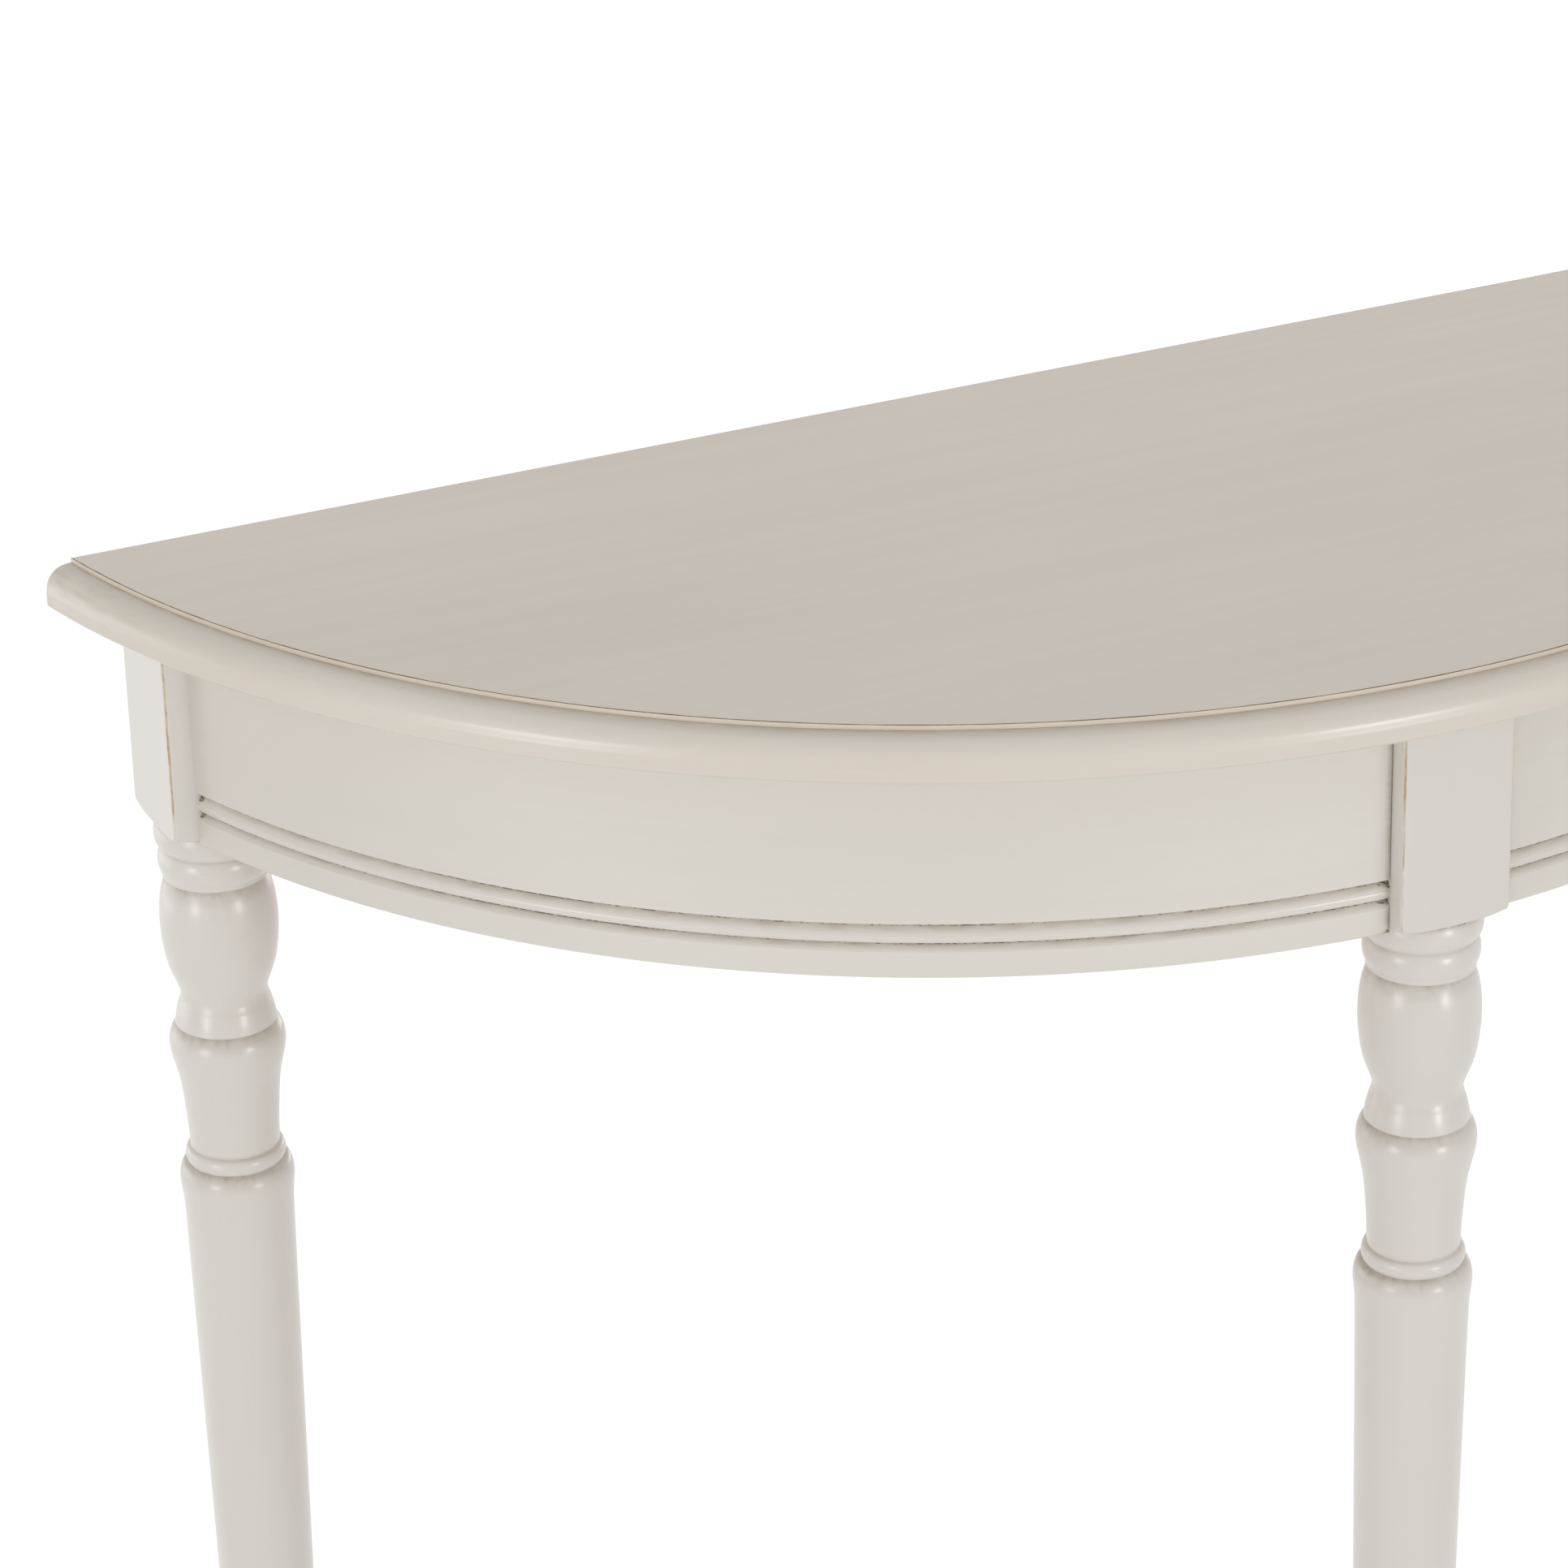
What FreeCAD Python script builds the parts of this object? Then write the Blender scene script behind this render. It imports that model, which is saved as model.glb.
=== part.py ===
import FreeCAD, Part
import math
import os

# Half-round (demilune) console table with three turned legs, in millimetres.
# The origin is on the floor under the middle of the top: +X to the right, +Y to the straight back, +Z up.

# Overall sizes
height = 790.0
arc_radius = 550.0              # curved edge of the top, over the moulding
arc_setback = 98.0              # the arc's centre lies this far behind the back edge
top_thickness = 24.0

# Moulding along the curved edge of the top, from the arris of the top face outwards and down
edge_fillet_height = 2.6
edge_ledge = 1.4
edge_ovolo_width = 12.0
edge_ovolo_height = 13.0
edge_under_chamfer = 1.5

# Curved aprons with two V-grooves and a bead near the lower edge
apron_height = 114.0
apron_thickness = 20.0
apron_setback = 33.5            # outer face of the apron inside the curved edge of the top
groove_rise = 13.6              # lower edge of the apron up to the lower groove
groove_height = 4.4
groove_depth = 3.0
bead_height = 5.6
bead_round = 0.9

# Square leg blocks
block_side = 59.5
block_length = 113.0
block_edge_round = 1.6
shoulder_rise = 3.2             # the lathe's cut under the block, from the faces up to the corners
shoulder_inset = 0.75           # the cut starts this far inside the faces
front_proud = 9.5               # front block ahead of the apron's outer face
rear_proud = 13.0               # rear block outside the apron's outer face

# Turned part of the legs, from the block down
collar_height = 15.0
collar_radius = 29.5
collar_shares = ((0.0, 0.95), (0.22, 0.985), (0.5, 1.0), (0.78, 0.975), (1.0, 0.905))
ring_height = 14.0
ring_radius = 28.4
band_height = 2.2
band_radius = 26.6
vase_height = 65.0
vase_radius = 29.7
neck_radius = 22.1
vase_shares = ((0.0, 0.41), (0.06, 0.62), (0.15, 0.83), (0.26, 0.955), (0.41, 1.0), (0.53, 0.95),
               (0.63, 0.855), (0.72, 0.72), (0.81, 0.5), (0.89, 0.24), (0.96, 0.045), (1.0, 0.0))
cup_height = 6.5
rim_radius = 23.6
cup_shares = ((0.2, 0.06), (0.45, 0.24), (0.72, 0.58), (1.0, 1.0))
rim_height = 10.5
rim_bulge = 1.3
rim_foot_radius = 25.8
swell_height = 70.0
swell_radius = 29.4
waist_radius = 22.8
swell_shares = ((0.0, 0.36), (0.03, 0.62), (0.08, 0.87), (0.155, 1.0), (0.23, 0.93), (0.31, 0.75), (0.43, 0.47),
                (0.56, 0.28), (0.69, 0.165), (0.84, 0.06), (1.0, 0.0))
hoop_height = 8.8
hoop_radius = 25.4
hoop_foot_radius = 24.6
shoulder_height = 26.0
shoulder_radius = 29.2
column_radius = 27.9
shoulder_shares = ((0.0, -2.5), (0.05, -0.9), (0.14, 0.15), (0.26, 0.8), (0.4, 1.0), (0.58, 0.7), (0.78, 0.3), (1.0, 0.0))
column_foot_radius = 23.0
ankle_height = 11.0
ankle_radius = 26.3
ankle_foot_radius = 19.5
foot_height = 58.0
foot_radius = 23.2
foot_tip_radius = 15.5
foot_shares = ((0.0, 0.5), (0.1, 0.72), (0.24, 0.95), (0.36, 1.0), (0.52, 0.86), (0.76, 0.42), (1.0, 0.0))

# Nail-on glides under the feet
glide_diameter = 24.0
glide_height = 5.0
glide_edge_round = 1.5
glide_pin_diameter = 2.4
glide_pin_length = 16.0
glide_pin_tip = 3.0

# Rails
rail_thickness = 20.0
rail_height = 100.0
rail_inset = 3.0                # back face of the rail ahead of the back edge
cross_width = 26.0
cross_height = 60.0

# Blocks inside the frame
corner_height = 60.0
corner_reach = 45.0             # from the rear leg's inner corner to the block's sloping face
front_corner_length = 60.0
front_corner_depth = 42.0
glue_length = 50.0
glue_width = 24.0
glue_height = 40.0
rail_glue_place = 180.0         # middle of a glue block on the back rail, from the centre line

# Dowels
dowel_diameter = 8.0
dowel_length = 30.0
dowel_end_gap = 1.0
dowel_clearance = 0.1
dowel_chamfer = 0.8
apron_dowel_shares = (0.45, 0.8)
rail_dowel_shares = (0.3, 0.7)
cross_dowel_shares = (0.3, 0.7)

# Screws
screw_diameter = 4.5
screw_head_diameter = 8.5
screw_head_height = 3.0
screw_length = 45.0
screw_tip = 5.0
screw_slot_width = 1.2
screw_slot_depth = 1.4
screw_clearance = 0.2
pilot_clearance = 0.05
pilot_end_gap = 0.5
bore_clearance = 0.75
top_bite = 15.0                 # screw length in the top
side_bite = 14.0                # screw length in an apron or the back rail
rear_top_screw_from_leg = 20.0
rear_top_screw_from_rail = 15.0
rail_screw_from_leg = 40.0
rail_screw_drop = 18.0          # below the underside of the top
apron_screw_from_leg = 32.0
apron_screw_drop = 42.0
front_top_screw_from_leg = 18.0
front_side_screw_from_leg = 42.0
front_side_screw_drop = 42.0

# Cutting shapes reach this far past what they cut
overrun = 5.0

# Sizes that follow from the ones above
underside = height - top_thickness
half_width = math.sqrt(arc_radius ** 2 - arc_setback ** 2)
depth = arc_radius - arc_setback
back_y = depth / 2
arc_y = back_y + arc_setback
edge_projection = edge_ledge + edge_ovolo_width
apron_radius = arc_radius - apron_setback
apron_inner_radius = apron_radius - apron_thickness
apron_middle_radius = apron_radius - apron_thickness / 2
apron_bottom = underside - apron_height
half_block = block_side / 2
rear_block_front_y = back_y - block_side
apron_end_x = math.sqrt(apron_radius ** 2 - (arc_y - rear_block_front_y) ** 2)
rear_leg_x = apron_end_x + rear_proud - half_block
rear_leg_y = back_y - half_block
front_leg_y = arc_y - apron_radius - front_proud + half_block
rail_front_y = back_y - rail_inset - rail_thickness
rail_middle_y = rail_front_y + rail_thickness / 2
rear_inner_x = rear_leg_x - half_block
front_block_back_y = front_leg_y + half_block
dowel_hole_depth = dowel_length / 2 + dowel_end_gap


def vec(x, y, z):
    return FreeCAD.Vector(x, y, z)


def mirrored(shape):
    """The same piece on the other side of the table's centre line."""
    return shape.mirror(vec(0, 0, 0), vec(1, 0, 0))


def box(x_low, x_high, y_low, y_high, z_low, z_high):
    return Part.makeBox(x_high - x_low, y_high - y_low, z_high - z_low, vec(x_low, y_low, z_low))


def rod(radius, length, start, direction):
    return Part.makeCylinder(radius, length, start, direction)


def arc_x(radius, y):
    """Distance from the centre line to a circle about the arc's centre, at a depth y."""
    return math.sqrt(radius ** 2 - (arc_y - y) ** 2)


def arc_front_y(radius, x):
    """Depth of the front of a circle about the arc's centre, at a distance x from the centre line."""
    return arc_y - math.sqrt(radius ** 2 - x ** 2)


def disc(radius, z_low, z_high):
    """A round plate about the arc's centre."""
    return rod(radius, z_high - z_low, vec(0, arc_y, z_low), vec(0, 0, 1))


def line(start, end):
    return Part.LineSegment(start, end).toShape()


def bow(start, through, end):
    return Part.Arc(start, through, end).toShape()


def curve(points):
    spline = Part.BSplineCurve()
    spline.interpolate(points)
    return spline.toShape()


def turned(edges, axis_x, axis_y):
    """Spins a closed profile about an upright axis through (axis_x, axis_y)."""
    face = Part.Face(Part.Wire(edges))
    return face.revolve(vec(axis_x, axis_y, 0), vec(0, 0, 1), 360)


# Fasteners


def dowel(middle, direction):
    """One dowel across a joint, half in each piece, with eased ends."""
    start = middle - direction * (dowel_length / 2)
    shape = rod(dowel_diameter / 2, dowel_length, start, direction)
    rims = [edge for edge in shape.Edges if len(edge.Vertexes) == 1]
    return shape.makeChamfer(dowel_chamfer, rims)


def dowel_hole(middle, direction):
    start = middle - direction * dowel_hole_depth
    return rod(dowel_diameter / 2 + dowel_clearance, dowel_hole_depth * 2, start, direction)


def screw(seat, direction):
    """Slotted screw with its head's underside at the seat and its point along the direction."""
    shank_length = screw_length - screw_tip
    head = rod(screw_head_diameter / 2, screw_head_height, vec(0, 0, -screw_head_height), vec(0, 0, 1))
    slot = box(-screw_head_diameter, screw_head_diameter, -screw_slot_width / 2, screw_slot_width / 2,
               -screw_head_height - overrun, screw_slot_depth - screw_head_height)
    shank = rod(screw_diameter / 2, shank_length, vec(0, 0, 0), vec(0, 0, 1))
    point = Part.makeCone(screw_diameter / 2, 0, screw_tip, vec(0, 0, shank_length), vec(0, 0, 1))
    shape = head.cut(slot).fuse([shank, point]).removeSplitter()
    shape.Placement = FreeCAD.Placement(seat, FreeCAD.Rotation(vec(0, 0, 1), direction))
    return shape


def screw_passage(seat, direction, bore_length):
    """Clearance hole for a screw, with a bore for its head that opens behind the seat."""
    hole = rod(screw_diameter / 2 + screw_clearance, screw_length, seat, direction)
    bore = rod(screw_head_diameter / 2 + bore_clearance, bore_length, seat, direction * -1)
    return hole.fuse(bore)


def screw_pilot(seat, direction):
    return rod(screw_diameter / 2 + pilot_clearance, screw_length + pilot_end_gap, seat, direction)


# Places of the dowels and screws, on the left half

forward = vec(0, -1, 0)
backward = vec(0, 1, 0)
upward = vec(0, 0, 1)
leftward = vec(-1, 0, 0)

rear_apron_dowel_x = arc_x(apron_middle_radius, rear_block_front_y - dowel_hole_depth / 2)
front_apron_dowel_y = arc_front_y(apron_middle_radius, half_block + dowel_hole_depth / 2)
apron_dowel_heights = [apron_bottom + apron_height * share for share in apron_dowel_shares]
rail_dowel_heights = [underside - rail_height * share for share in rail_dowel_shares]
cross_dowel_heights = [underside - cross_height * share for share in cross_dowel_shares]

rear_apron_dowels = [vec(-rear_apron_dowel_x, rear_block_front_y, z) for z in apron_dowel_heights]
front_apron_dowels = [vec(-half_block, front_apron_dowel_y, z) for z in apron_dowel_heights]
back_rail_dowels = [vec(-rear_inner_x, rail_middle_y, z) for z in rail_dowel_heights]
cross_front_dowels = [vec(0, front_block_back_y, z) for z in cross_dowel_heights]
cross_back_dowels = [vec(0, rail_front_y, z) for z in cross_dowel_heights]

# Top screws stand upright, with their heads this far below the top
top_seat_z = underside - (screw_length - top_bite)
side_reach = screw_length - side_bite

front_corner_back_y = arc_front_y(apron_inner_radius, half_block) + front_corner_depth
glue_angle = (math.atan2(half_block, apron_radius) + math.acos((arc_y - rear_block_front_y) / apron_radius)) / 2
glue_screw_radius = apron_inner_radius - glue_width / 2

rear_top_seat = vec(-rear_inner_x + rear_top_screw_from_leg, rail_front_y - rear_top_screw_from_rail, top_seat_z)
front_top_screw_x = -half_block - front_top_screw_from_leg
front_top_screw_y = (arc_front_y(apron_inner_radius, front_top_screw_x) + front_corner_back_y) / 2
front_top_seat = vec(front_top_screw_x, front_top_screw_y, top_seat_z)
apron_top_seat = vec(-glue_screw_radius * math.sin(glue_angle), arc_y - glue_screw_radius * math.cos(glue_angle),
                     top_seat_z)
rail_top_seat = vec(-rail_glue_place, rail_front_y - glue_width / 2, top_seat_z)
cross_top_seat = vec(0, (front_block_back_y + rail_front_y) / 2, top_seat_z)
left_top_seats = [rear_top_seat, front_top_seat, apron_top_seat, rail_top_seat]

rail_screw_seat = vec(-rear_inner_x + rail_screw_from_leg, rail_front_y - side_reach, underside - rail_screw_drop)
apron_screw_y = rear_block_front_y - apron_screw_from_leg
apron_screw_foot = vec(-arc_x(apron_inner_radius, apron_screw_y), apron_screw_y, underside - apron_screw_drop)
apron_screw_way = vec(apron_screw_foot.x, apron_screw_foot.y - arc_y, 0).normalize()
apron_screw_seat = apron_screw_foot - apron_screw_way * side_reach
front_side_x = -half_block - front_side_screw_from_leg
front_side_seat = vec(front_side_x, arc_front_y(apron_inner_radius, front_side_x) + side_reach,
                      underside - front_side_screw_drop)


# Top


def make_top():
    """Half-round panel with a fillet and an ovolo along its curved edge."""
    face_radius = arc_radius - edge_projection
    ledge_z = height - edge_fillet_height
    ovolo_foot = ledge_z - edge_ovolo_height
    ovolo_radius = arc_radius - edge_ovolo_width

    def at(radius, z):
        return vec(radius, arc_y, z)

    # An ellipse quarter that starts flat at the ledge and ends upright at the edge
    middle = vec(ovolo_radius, arc_y, ovolo_foot)
    quarter = [middle + vec(edge_ovolo_width * math.sin(turn), 0, edge_ovolo_height * math.cos(turn))
               for turn in (math.radians(degrees) for degrees in (0, 15, 30, 45, 60, 75, 90))]
    ovolo = Part.BSplineCurve()
    ovolo.interpolate(Points=quarter, InitialTangent=vec(1, 0, 0), FinalTangent=vec(0, 0, -1))
    edges = [
        line(at(0, height), at(face_radius, height)),
        line(at(face_radius, height), at(face_radius, ledge_z)),
        line(at(face_radius, ledge_z), at(ovolo_radius, ledge_z)),
        ovolo.toShape(),
        line(at(arc_radius, ovolo_foot), at(arc_radius, underside + edge_under_chamfer)),
        line(at(arc_radius, underside + edge_under_chamfer), at(arc_radius - edge_under_chamfer, underside)),
        line(at(arc_radius - edge_under_chamfer, underside), at(0, underside)),
        line(at(0, underside), at(0, height)),
    ]
    whole = turned(edges, 0, arc_y)
    front_y = arc_y - arc_radius - overrun
    panel = whole.common(box(-arc_radius, arc_radius, front_y, back_y, underside - overrun, height + overrun))
    for seat in left_top_seats:
        pilot = screw_pilot(seat, upward)
        panel = panel.cut([pilot, mirrored(pilot)])
    return panel.cut(screw_pilot(cross_top_seat, upward))


# Aprons and rails


def make_apron_left():
    """Curved apron between the rear and front blocks, with two V-grooves and a bead."""
    def at(depth_in, z):
        return vec(apron_radius - depth_in, arc_y, z)

    low_start = apron_bottom + groove_rise
    low_end = low_start + groove_height
    high_start = low_end + bead_height
    high_end = high_start + groove_height
    edges = [
        line(at(apron_thickness, apron_bottom), at(0, apron_bottom)),
        line(at(0, apron_bottom), at(0, low_start)),
        line(at(0, low_start), at(groove_depth, low_end)),
        line(at(groove_depth, low_end), at(bead_round, low_end)),
        bow(at(bead_round, low_end), at(0, (low_end + high_start) / 2), at(bead_round, high_start)),
        line(at(bead_round, high_start), at(groove_depth, high_end)),
        line(at(groove_depth, high_end), at(0, high_end)),
        line(at(0, high_end), at(0, underside)),
        line(at(0, underside), at(apron_thickness, underside)),
        line(at(apron_thickness, underside), at(apron_thickness, apron_bottom)),
    ]
    hoop = turned(edges, 0, arc_y)
    room = box(-arc_radius, -half_block, arc_y - arc_radius, rear_block_front_y, apron_bottom - overrun,
               underside + overrun)
    apron = hoop.common(room)
    holes = [dowel_hole(place, forward) for place in rear_apron_dowels]
    holes += [dowel_hole(place, leftward) for place in front_apron_dowels]
    holes.append(screw_pilot(apron_screw_seat, apron_screw_way))
    holes.append(screw_pilot(front_side_seat, forward))
    return apron.cut(holes)


def make_back_rail():
    rail = box(-rear_inner_x, rear_inner_x, rail_front_y, rail_front_y + rail_thickness, underside - rail_height,
               underside)
    left_holes = [dowel_hole(place, leftward) for place in back_rail_dowels]
    left_holes.append(screw_pilot(rail_screw_seat, backward))
    middle_holes = [dowel_hole(place, backward) for place in cross_back_dowels]
    return rail.cut(left_holes + [mirrored(hole) for hole in left_holes] + middle_holes)


def make_cross_rail():
    half = cross_width / 2
    rail = box(-half, half, front_block_back_y, rail_front_y, underside - cross_height, underside)
    holes = [dowel_hole(place, forward) for place in cross_front_dowels + cross_back_dowels]
    return rail.cut(holes + [screw_passage(cross_top_seat, upward, cross_height)])


# Legs


def make_leg(axis_x, axis_y):
    """Square block above and turned leg below, on an upright axis."""
    block_foot = underside - block_length
    block = box(axis_x - half_block, axis_x + half_block, axis_y - half_block, axis_y + half_block, block_foot,
                underside)
    uprights = [edge for edge in block.Edges if edge.BoundBox.ZLength > block_length / 2]
    block = block.makeFillet(block_edge_round, uprights)

    def at(radius, z):
        return vec(axis_x + radius, axis_y, z)

    cut_start = half_block - shoulder_inset
    cut_end = half_block * math.sqrt(2) + shoulder_inset
    shoulder_cut = [
        line(at(0, block_foot), at(cut_start, block_foot)),
        bow(at(cut_start, block_foot), at((cut_start + cut_end) / 2, block_foot + shoulder_rise / 4),
            at(cut_end, block_foot + shoulder_rise)),
        line(at(cut_end, block_foot + shoulder_rise), at(cut_end, underside)),
        line(at(cut_end, underside), at(0, underside)),
        line(at(0, underside), at(0, block_foot)),
    ]
    block = block.common(turned(shoulder_cut, axis_x, axis_y))

    def swept(top_z, tall, low, high, shares):
        """Points down a stretch of the turning: share of its height, share between two radii."""
        return [at(low + (high - low) * swell, top_z - tall * down) for down, swell in shares]

    collar_top = block_foot
    ring_top = collar_top - collar_height
    band_top = ring_top - ring_height
    vase_top = band_top - band_height
    neck_z = vase_top - vase_height
    rim_top = neck_z - cup_height
    swell_top = rim_top - rim_height
    hoop_top = swell_top - swell_height
    shoulder_top = hoop_top - hoop_height
    column_top = shoulder_top - shoulder_height
    foot_top = glide_height + foot_height
    ankle_top = foot_top + ankle_height
    inside_block = block_foot + half_block

    collar = swept(collar_top, collar_height, 0, collar_radius, collar_shares)
    vase = swept(vase_top, vase_height, neck_radius, vase_radius, vase_shares)
    vase += swept(neck_z, cup_height, neck_radius, rim_radius, cup_shares)
    swell = swept(swell_top, swell_height, waist_radius, swell_radius, swell_shares)
    shoulder = swept(shoulder_top, shoulder_height, column_radius, shoulder_radius, shoulder_shares)
    foot = swept(foot_top, foot_height, foot_tip_radius, foot_radius, foot_shares)
    rim_foot = at(rim_foot_radius, swell_top)
    hoop_foot = at(hoop_foot_radius, shoulder_top)
    column_foot = at(column_foot_radius, ankle_top)
    ankle_foot = at(ankle_foot_radius, foot_top)

    edges = [
        line(at(0, inside_block), at(collar[0].x - axis_x, inside_block)),
        line(at(collar[0].x - axis_x, inside_block), collar[0]),
        curve(collar),
        bow(collar[-1], at(ring_radius, (ring_top + band_top) / 2), at(band_radius, band_top)),
        line(at(band_radius, band_top), at(band_radius, vase_top)),
        line(at(band_radius, vase_top), vase[0]),
        curve(vase),
        bow(vase[-1], at(rim_radius + rim_bulge, (rim_top + swell_top) / 2), rim_foot),
        line(rim_foot, swell[0]),
        curve(swell),
        bow(swell[-1], at(hoop_radius, (hoop_top + shoulder_top) / 2), hoop_foot),
        line(hoop_foot, shoulder[0]),
        curve(shoulder),
        line(shoulder[-1], column_foot),
        bow(column_foot, at(ankle_radius, (ankle_top + foot_top) / 2), ankle_foot),
    ]
    if ankle_foot.distanceToPoint(foot[0]) > 0:
        edges.append(line(ankle_foot, foot[0]))
    edges += [
        curve(foot),
        line(foot[-1], at(0, glide_height)),
        line(at(0, glide_height), at(0, inside_block)),
    ]
    leg = block.fuse(turned(edges, axis_x, axis_y)).removeSplitter()
    pin_hole = rod(glide_pin_diameter / 2 + pilot_clearance, glide_pin_length + pilot_end_gap,
                   vec(axis_x, axis_y, glide_height), upward)
    return leg.cut(pin_hole)


def make_leg_rear_left():
    holes = [dowel_hole(place, forward) for place in rear_apron_dowels]
    holes += [dowel_hole(place, leftward) for place in back_rail_dowels]
    return make_leg(-rear_leg_x, rear_leg_y).cut(holes)


def make_leg_front():
    side_holes = [dowel_hole(place, leftward) for place in front_apron_dowels]
    back_holes = [dowel_hole(place, backward) for place in cross_front_dowels]
    return make_leg(0, front_leg_y).cut(side_holes + [mirrored(hole) for hole in side_holes] + back_holes)


def make_glide(axis_x, axis_y):
    """Round glide with its nail, driven into the end of a foot."""
    pad = rod(glide_diameter / 2, glide_height, vec(axis_x, axis_y, 0), upward)
    rims = [edge for edge in pad.Edges if len(edge.Vertexes) == 1]
    pad = pad.makeFillet(glide_edge_round, rims)
    shank_length = glide_pin_length - glide_pin_tip
    shank = rod(glide_pin_diameter / 2, shank_length, vec(axis_x, axis_y, glide_height), upward)
    tip_start = vec(axis_x, axis_y, glide_height + shank_length)
    tip = Part.makeCone(glide_pin_diameter / 2, 0, glide_pin_tip, tip_start, upward)
    return pad.fuse([shank, tip]).removeSplitter()


# Blocks inside the frame


def make_corner_block_rear_left():
    """Notched block in the corner of the rear leg, the apron and the back rail."""
    corner = vec(-rear_inner_x, rear_block_front_y, 0)
    apron_run = vec(arc_y - rear_block_front_y, -arc_x(apron_inner_radius, rear_block_front_y), 0).normalize()
    inward = (vec(1, 0, 0) + apron_run).normalize()
    across = vec(-inward.y, inward.x, 0)
    low_z = underside - corner_height
    wide = block_side + corner_reach + apron_thickness
    start = corner - inward * block_side
    outline = [start - across * wide * 2, start + across * wide * 2,
               corner + inward * corner_reach + across * wide * 2, corner + inward * corner_reach - across * wide * 2]
    outline = [vec(point.x, point.y, low_z) for point in outline]
    block = Part.Face(Part.makePolygon(outline + outline[:1])).extrude(vec(0, 0, corner_height))
    block = block.common(disc(apron_inner_radius, low_z, underside))
    block = block.common(box(-arc_radius, 0, arc_y - arc_radius, rail_front_y, low_z, underside))
    block = block.cut(box(-rear_inner_x - block_side, -rear_inner_x, rear_block_front_y, back_y, low_z, underside))
    bores = [screw_passage(rail_screw_seat, backward, wide), screw_passage(apron_screw_seat, apron_screw_way, wide),
             screw_passage(rear_top_seat, upward, corner_height)]
    return block.cut(bores)


def make_corner_block_front_left():
    """Block in the corner of the front leg and the left apron."""
    low_z = underside - corner_height
    block = box(-half_block - front_corner_length, -half_block, arc_y - arc_radius, front_corner_back_y, low_z,
                underside)
    block = block.common(disc(apron_inner_radius, low_z, underside))
    bores = [screw_passage(front_side_seat, forward, front_corner_depth),
             screw_passage(front_top_seat, upward, corner_height)]
    return block.cut(bores)


def make_glue_block_apron_left():
    """Block on the inside of the left apron, half way along it."""
    low_z = underside - glue_height
    half = glue_length / 2
    face_y = arc_y - apron_inner_radius
    block = box(-half, half, face_y - overrun, face_y + glue_width, low_z, underside)
    block = block.common(disc(apron_inner_radius, low_z, underside))
    block.rotate(vec(0, arc_y, 0), vec(0, 0, 1), -math.degrees(glue_angle))
    return block.cut(screw_passage(apron_top_seat, upward, glue_height))


def make_glue_block_rail_left():
    low_z = underside - glue_height
    half = glue_length / 2
    block = box(-rail_glue_place - half, -rail_glue_place + half, rail_front_y - glue_width, rail_front_y, low_z,
                underside)
    return block.cut(screw_passage(rail_top_seat, upward, glue_height))


# Groups of like fasteners


def both_sides(shapes):
    return Part.makeCompound(shapes + [mirrored(shape) for shape in shapes])


def make_apron_dowels():
    rear = [dowel(place, forward) for place in rear_apron_dowels]
    front = [dowel(place, leftward) for place in front_apron_dowels]
    return both_sides(rear + front)


def make_back_rail_dowels():
    return both_sides([dowel(place, leftward) for place in back_rail_dowels])


def make_cross_rail_dowels():
    return Part.makeCompound([dowel(place, backward) for place in cross_front_dowels + cross_back_dowels])


def make_corner_screws():
    return both_sides([screw(rail_screw_seat, backward), screw(apron_screw_seat, apron_screw_way),
                       screw(front_side_seat, forward)])


def make_top_screws():
    pairs = both_sides([screw(seat, upward) for seat in left_top_seats])
    return Part.makeCompound(pairs.Solids + [screw(cross_top_seat, upward)])


def make_nodes():
    nodes = {
        "top_panel": make_top(),
        "apron_left": make_apron_left(),
        "back_rail": make_back_rail(),
        "cross_rail": make_cross_rail(),
        "leg_front": make_leg_front(),
        "leg_rear_left": make_leg_rear_left(),
        "glide_front": make_glide(0, front_leg_y),
        "glide_rear_left": make_glide(-rear_leg_x, rear_leg_y),
        "corner_block_rear_left": make_corner_block_rear_left(),
        "corner_block_front_left": make_corner_block_front_left(),
        "glue_block_apron_left": make_glue_block_apron_left(),
        "glue_block_rail_left": make_glue_block_rail_left(),
        "apron_dowels": make_apron_dowels(),
        "back_rail_dowels": make_back_rail_dowels(),
        "cross_rail_dowels": make_cross_rail_dowels(),
        "corner_screws": make_corner_screws(),
        "top_screws": make_top_screws(),
    }
    for name in list(nodes):
        if name.endswith("_left"):
            nodes[name[:-len("left")] + "right"] = mirrored(nodes[name])
    return nodes


os.makedirs("parts", exist_ok=True)
for name, shape in make_nodes().items():
    print(name, "solids", len(shape.Solids), "valid", shape.isValid(), "volume", round(shape.Volume))
    shape.exportStep("parts/" + name + ".step")
print("width", round(half_width * 2, 1), "depth", depth, "height", height)
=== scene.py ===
# %% [markdown]
# A half-round console table, finished in Blender.
#
# The table is already built as a set of solids at its real size. This lesson loads those solids as a
# fixed frame, models the pieces that show with bmesh, gives every piece its finish, and sets up a
# small photo studio around it. All lengths are in metres, +X runs along the straight back edge,
# +Y points to the wall and +Z is up.

import math

import bmesh
import bpy
from mathutils import Matrix, Vector


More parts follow.
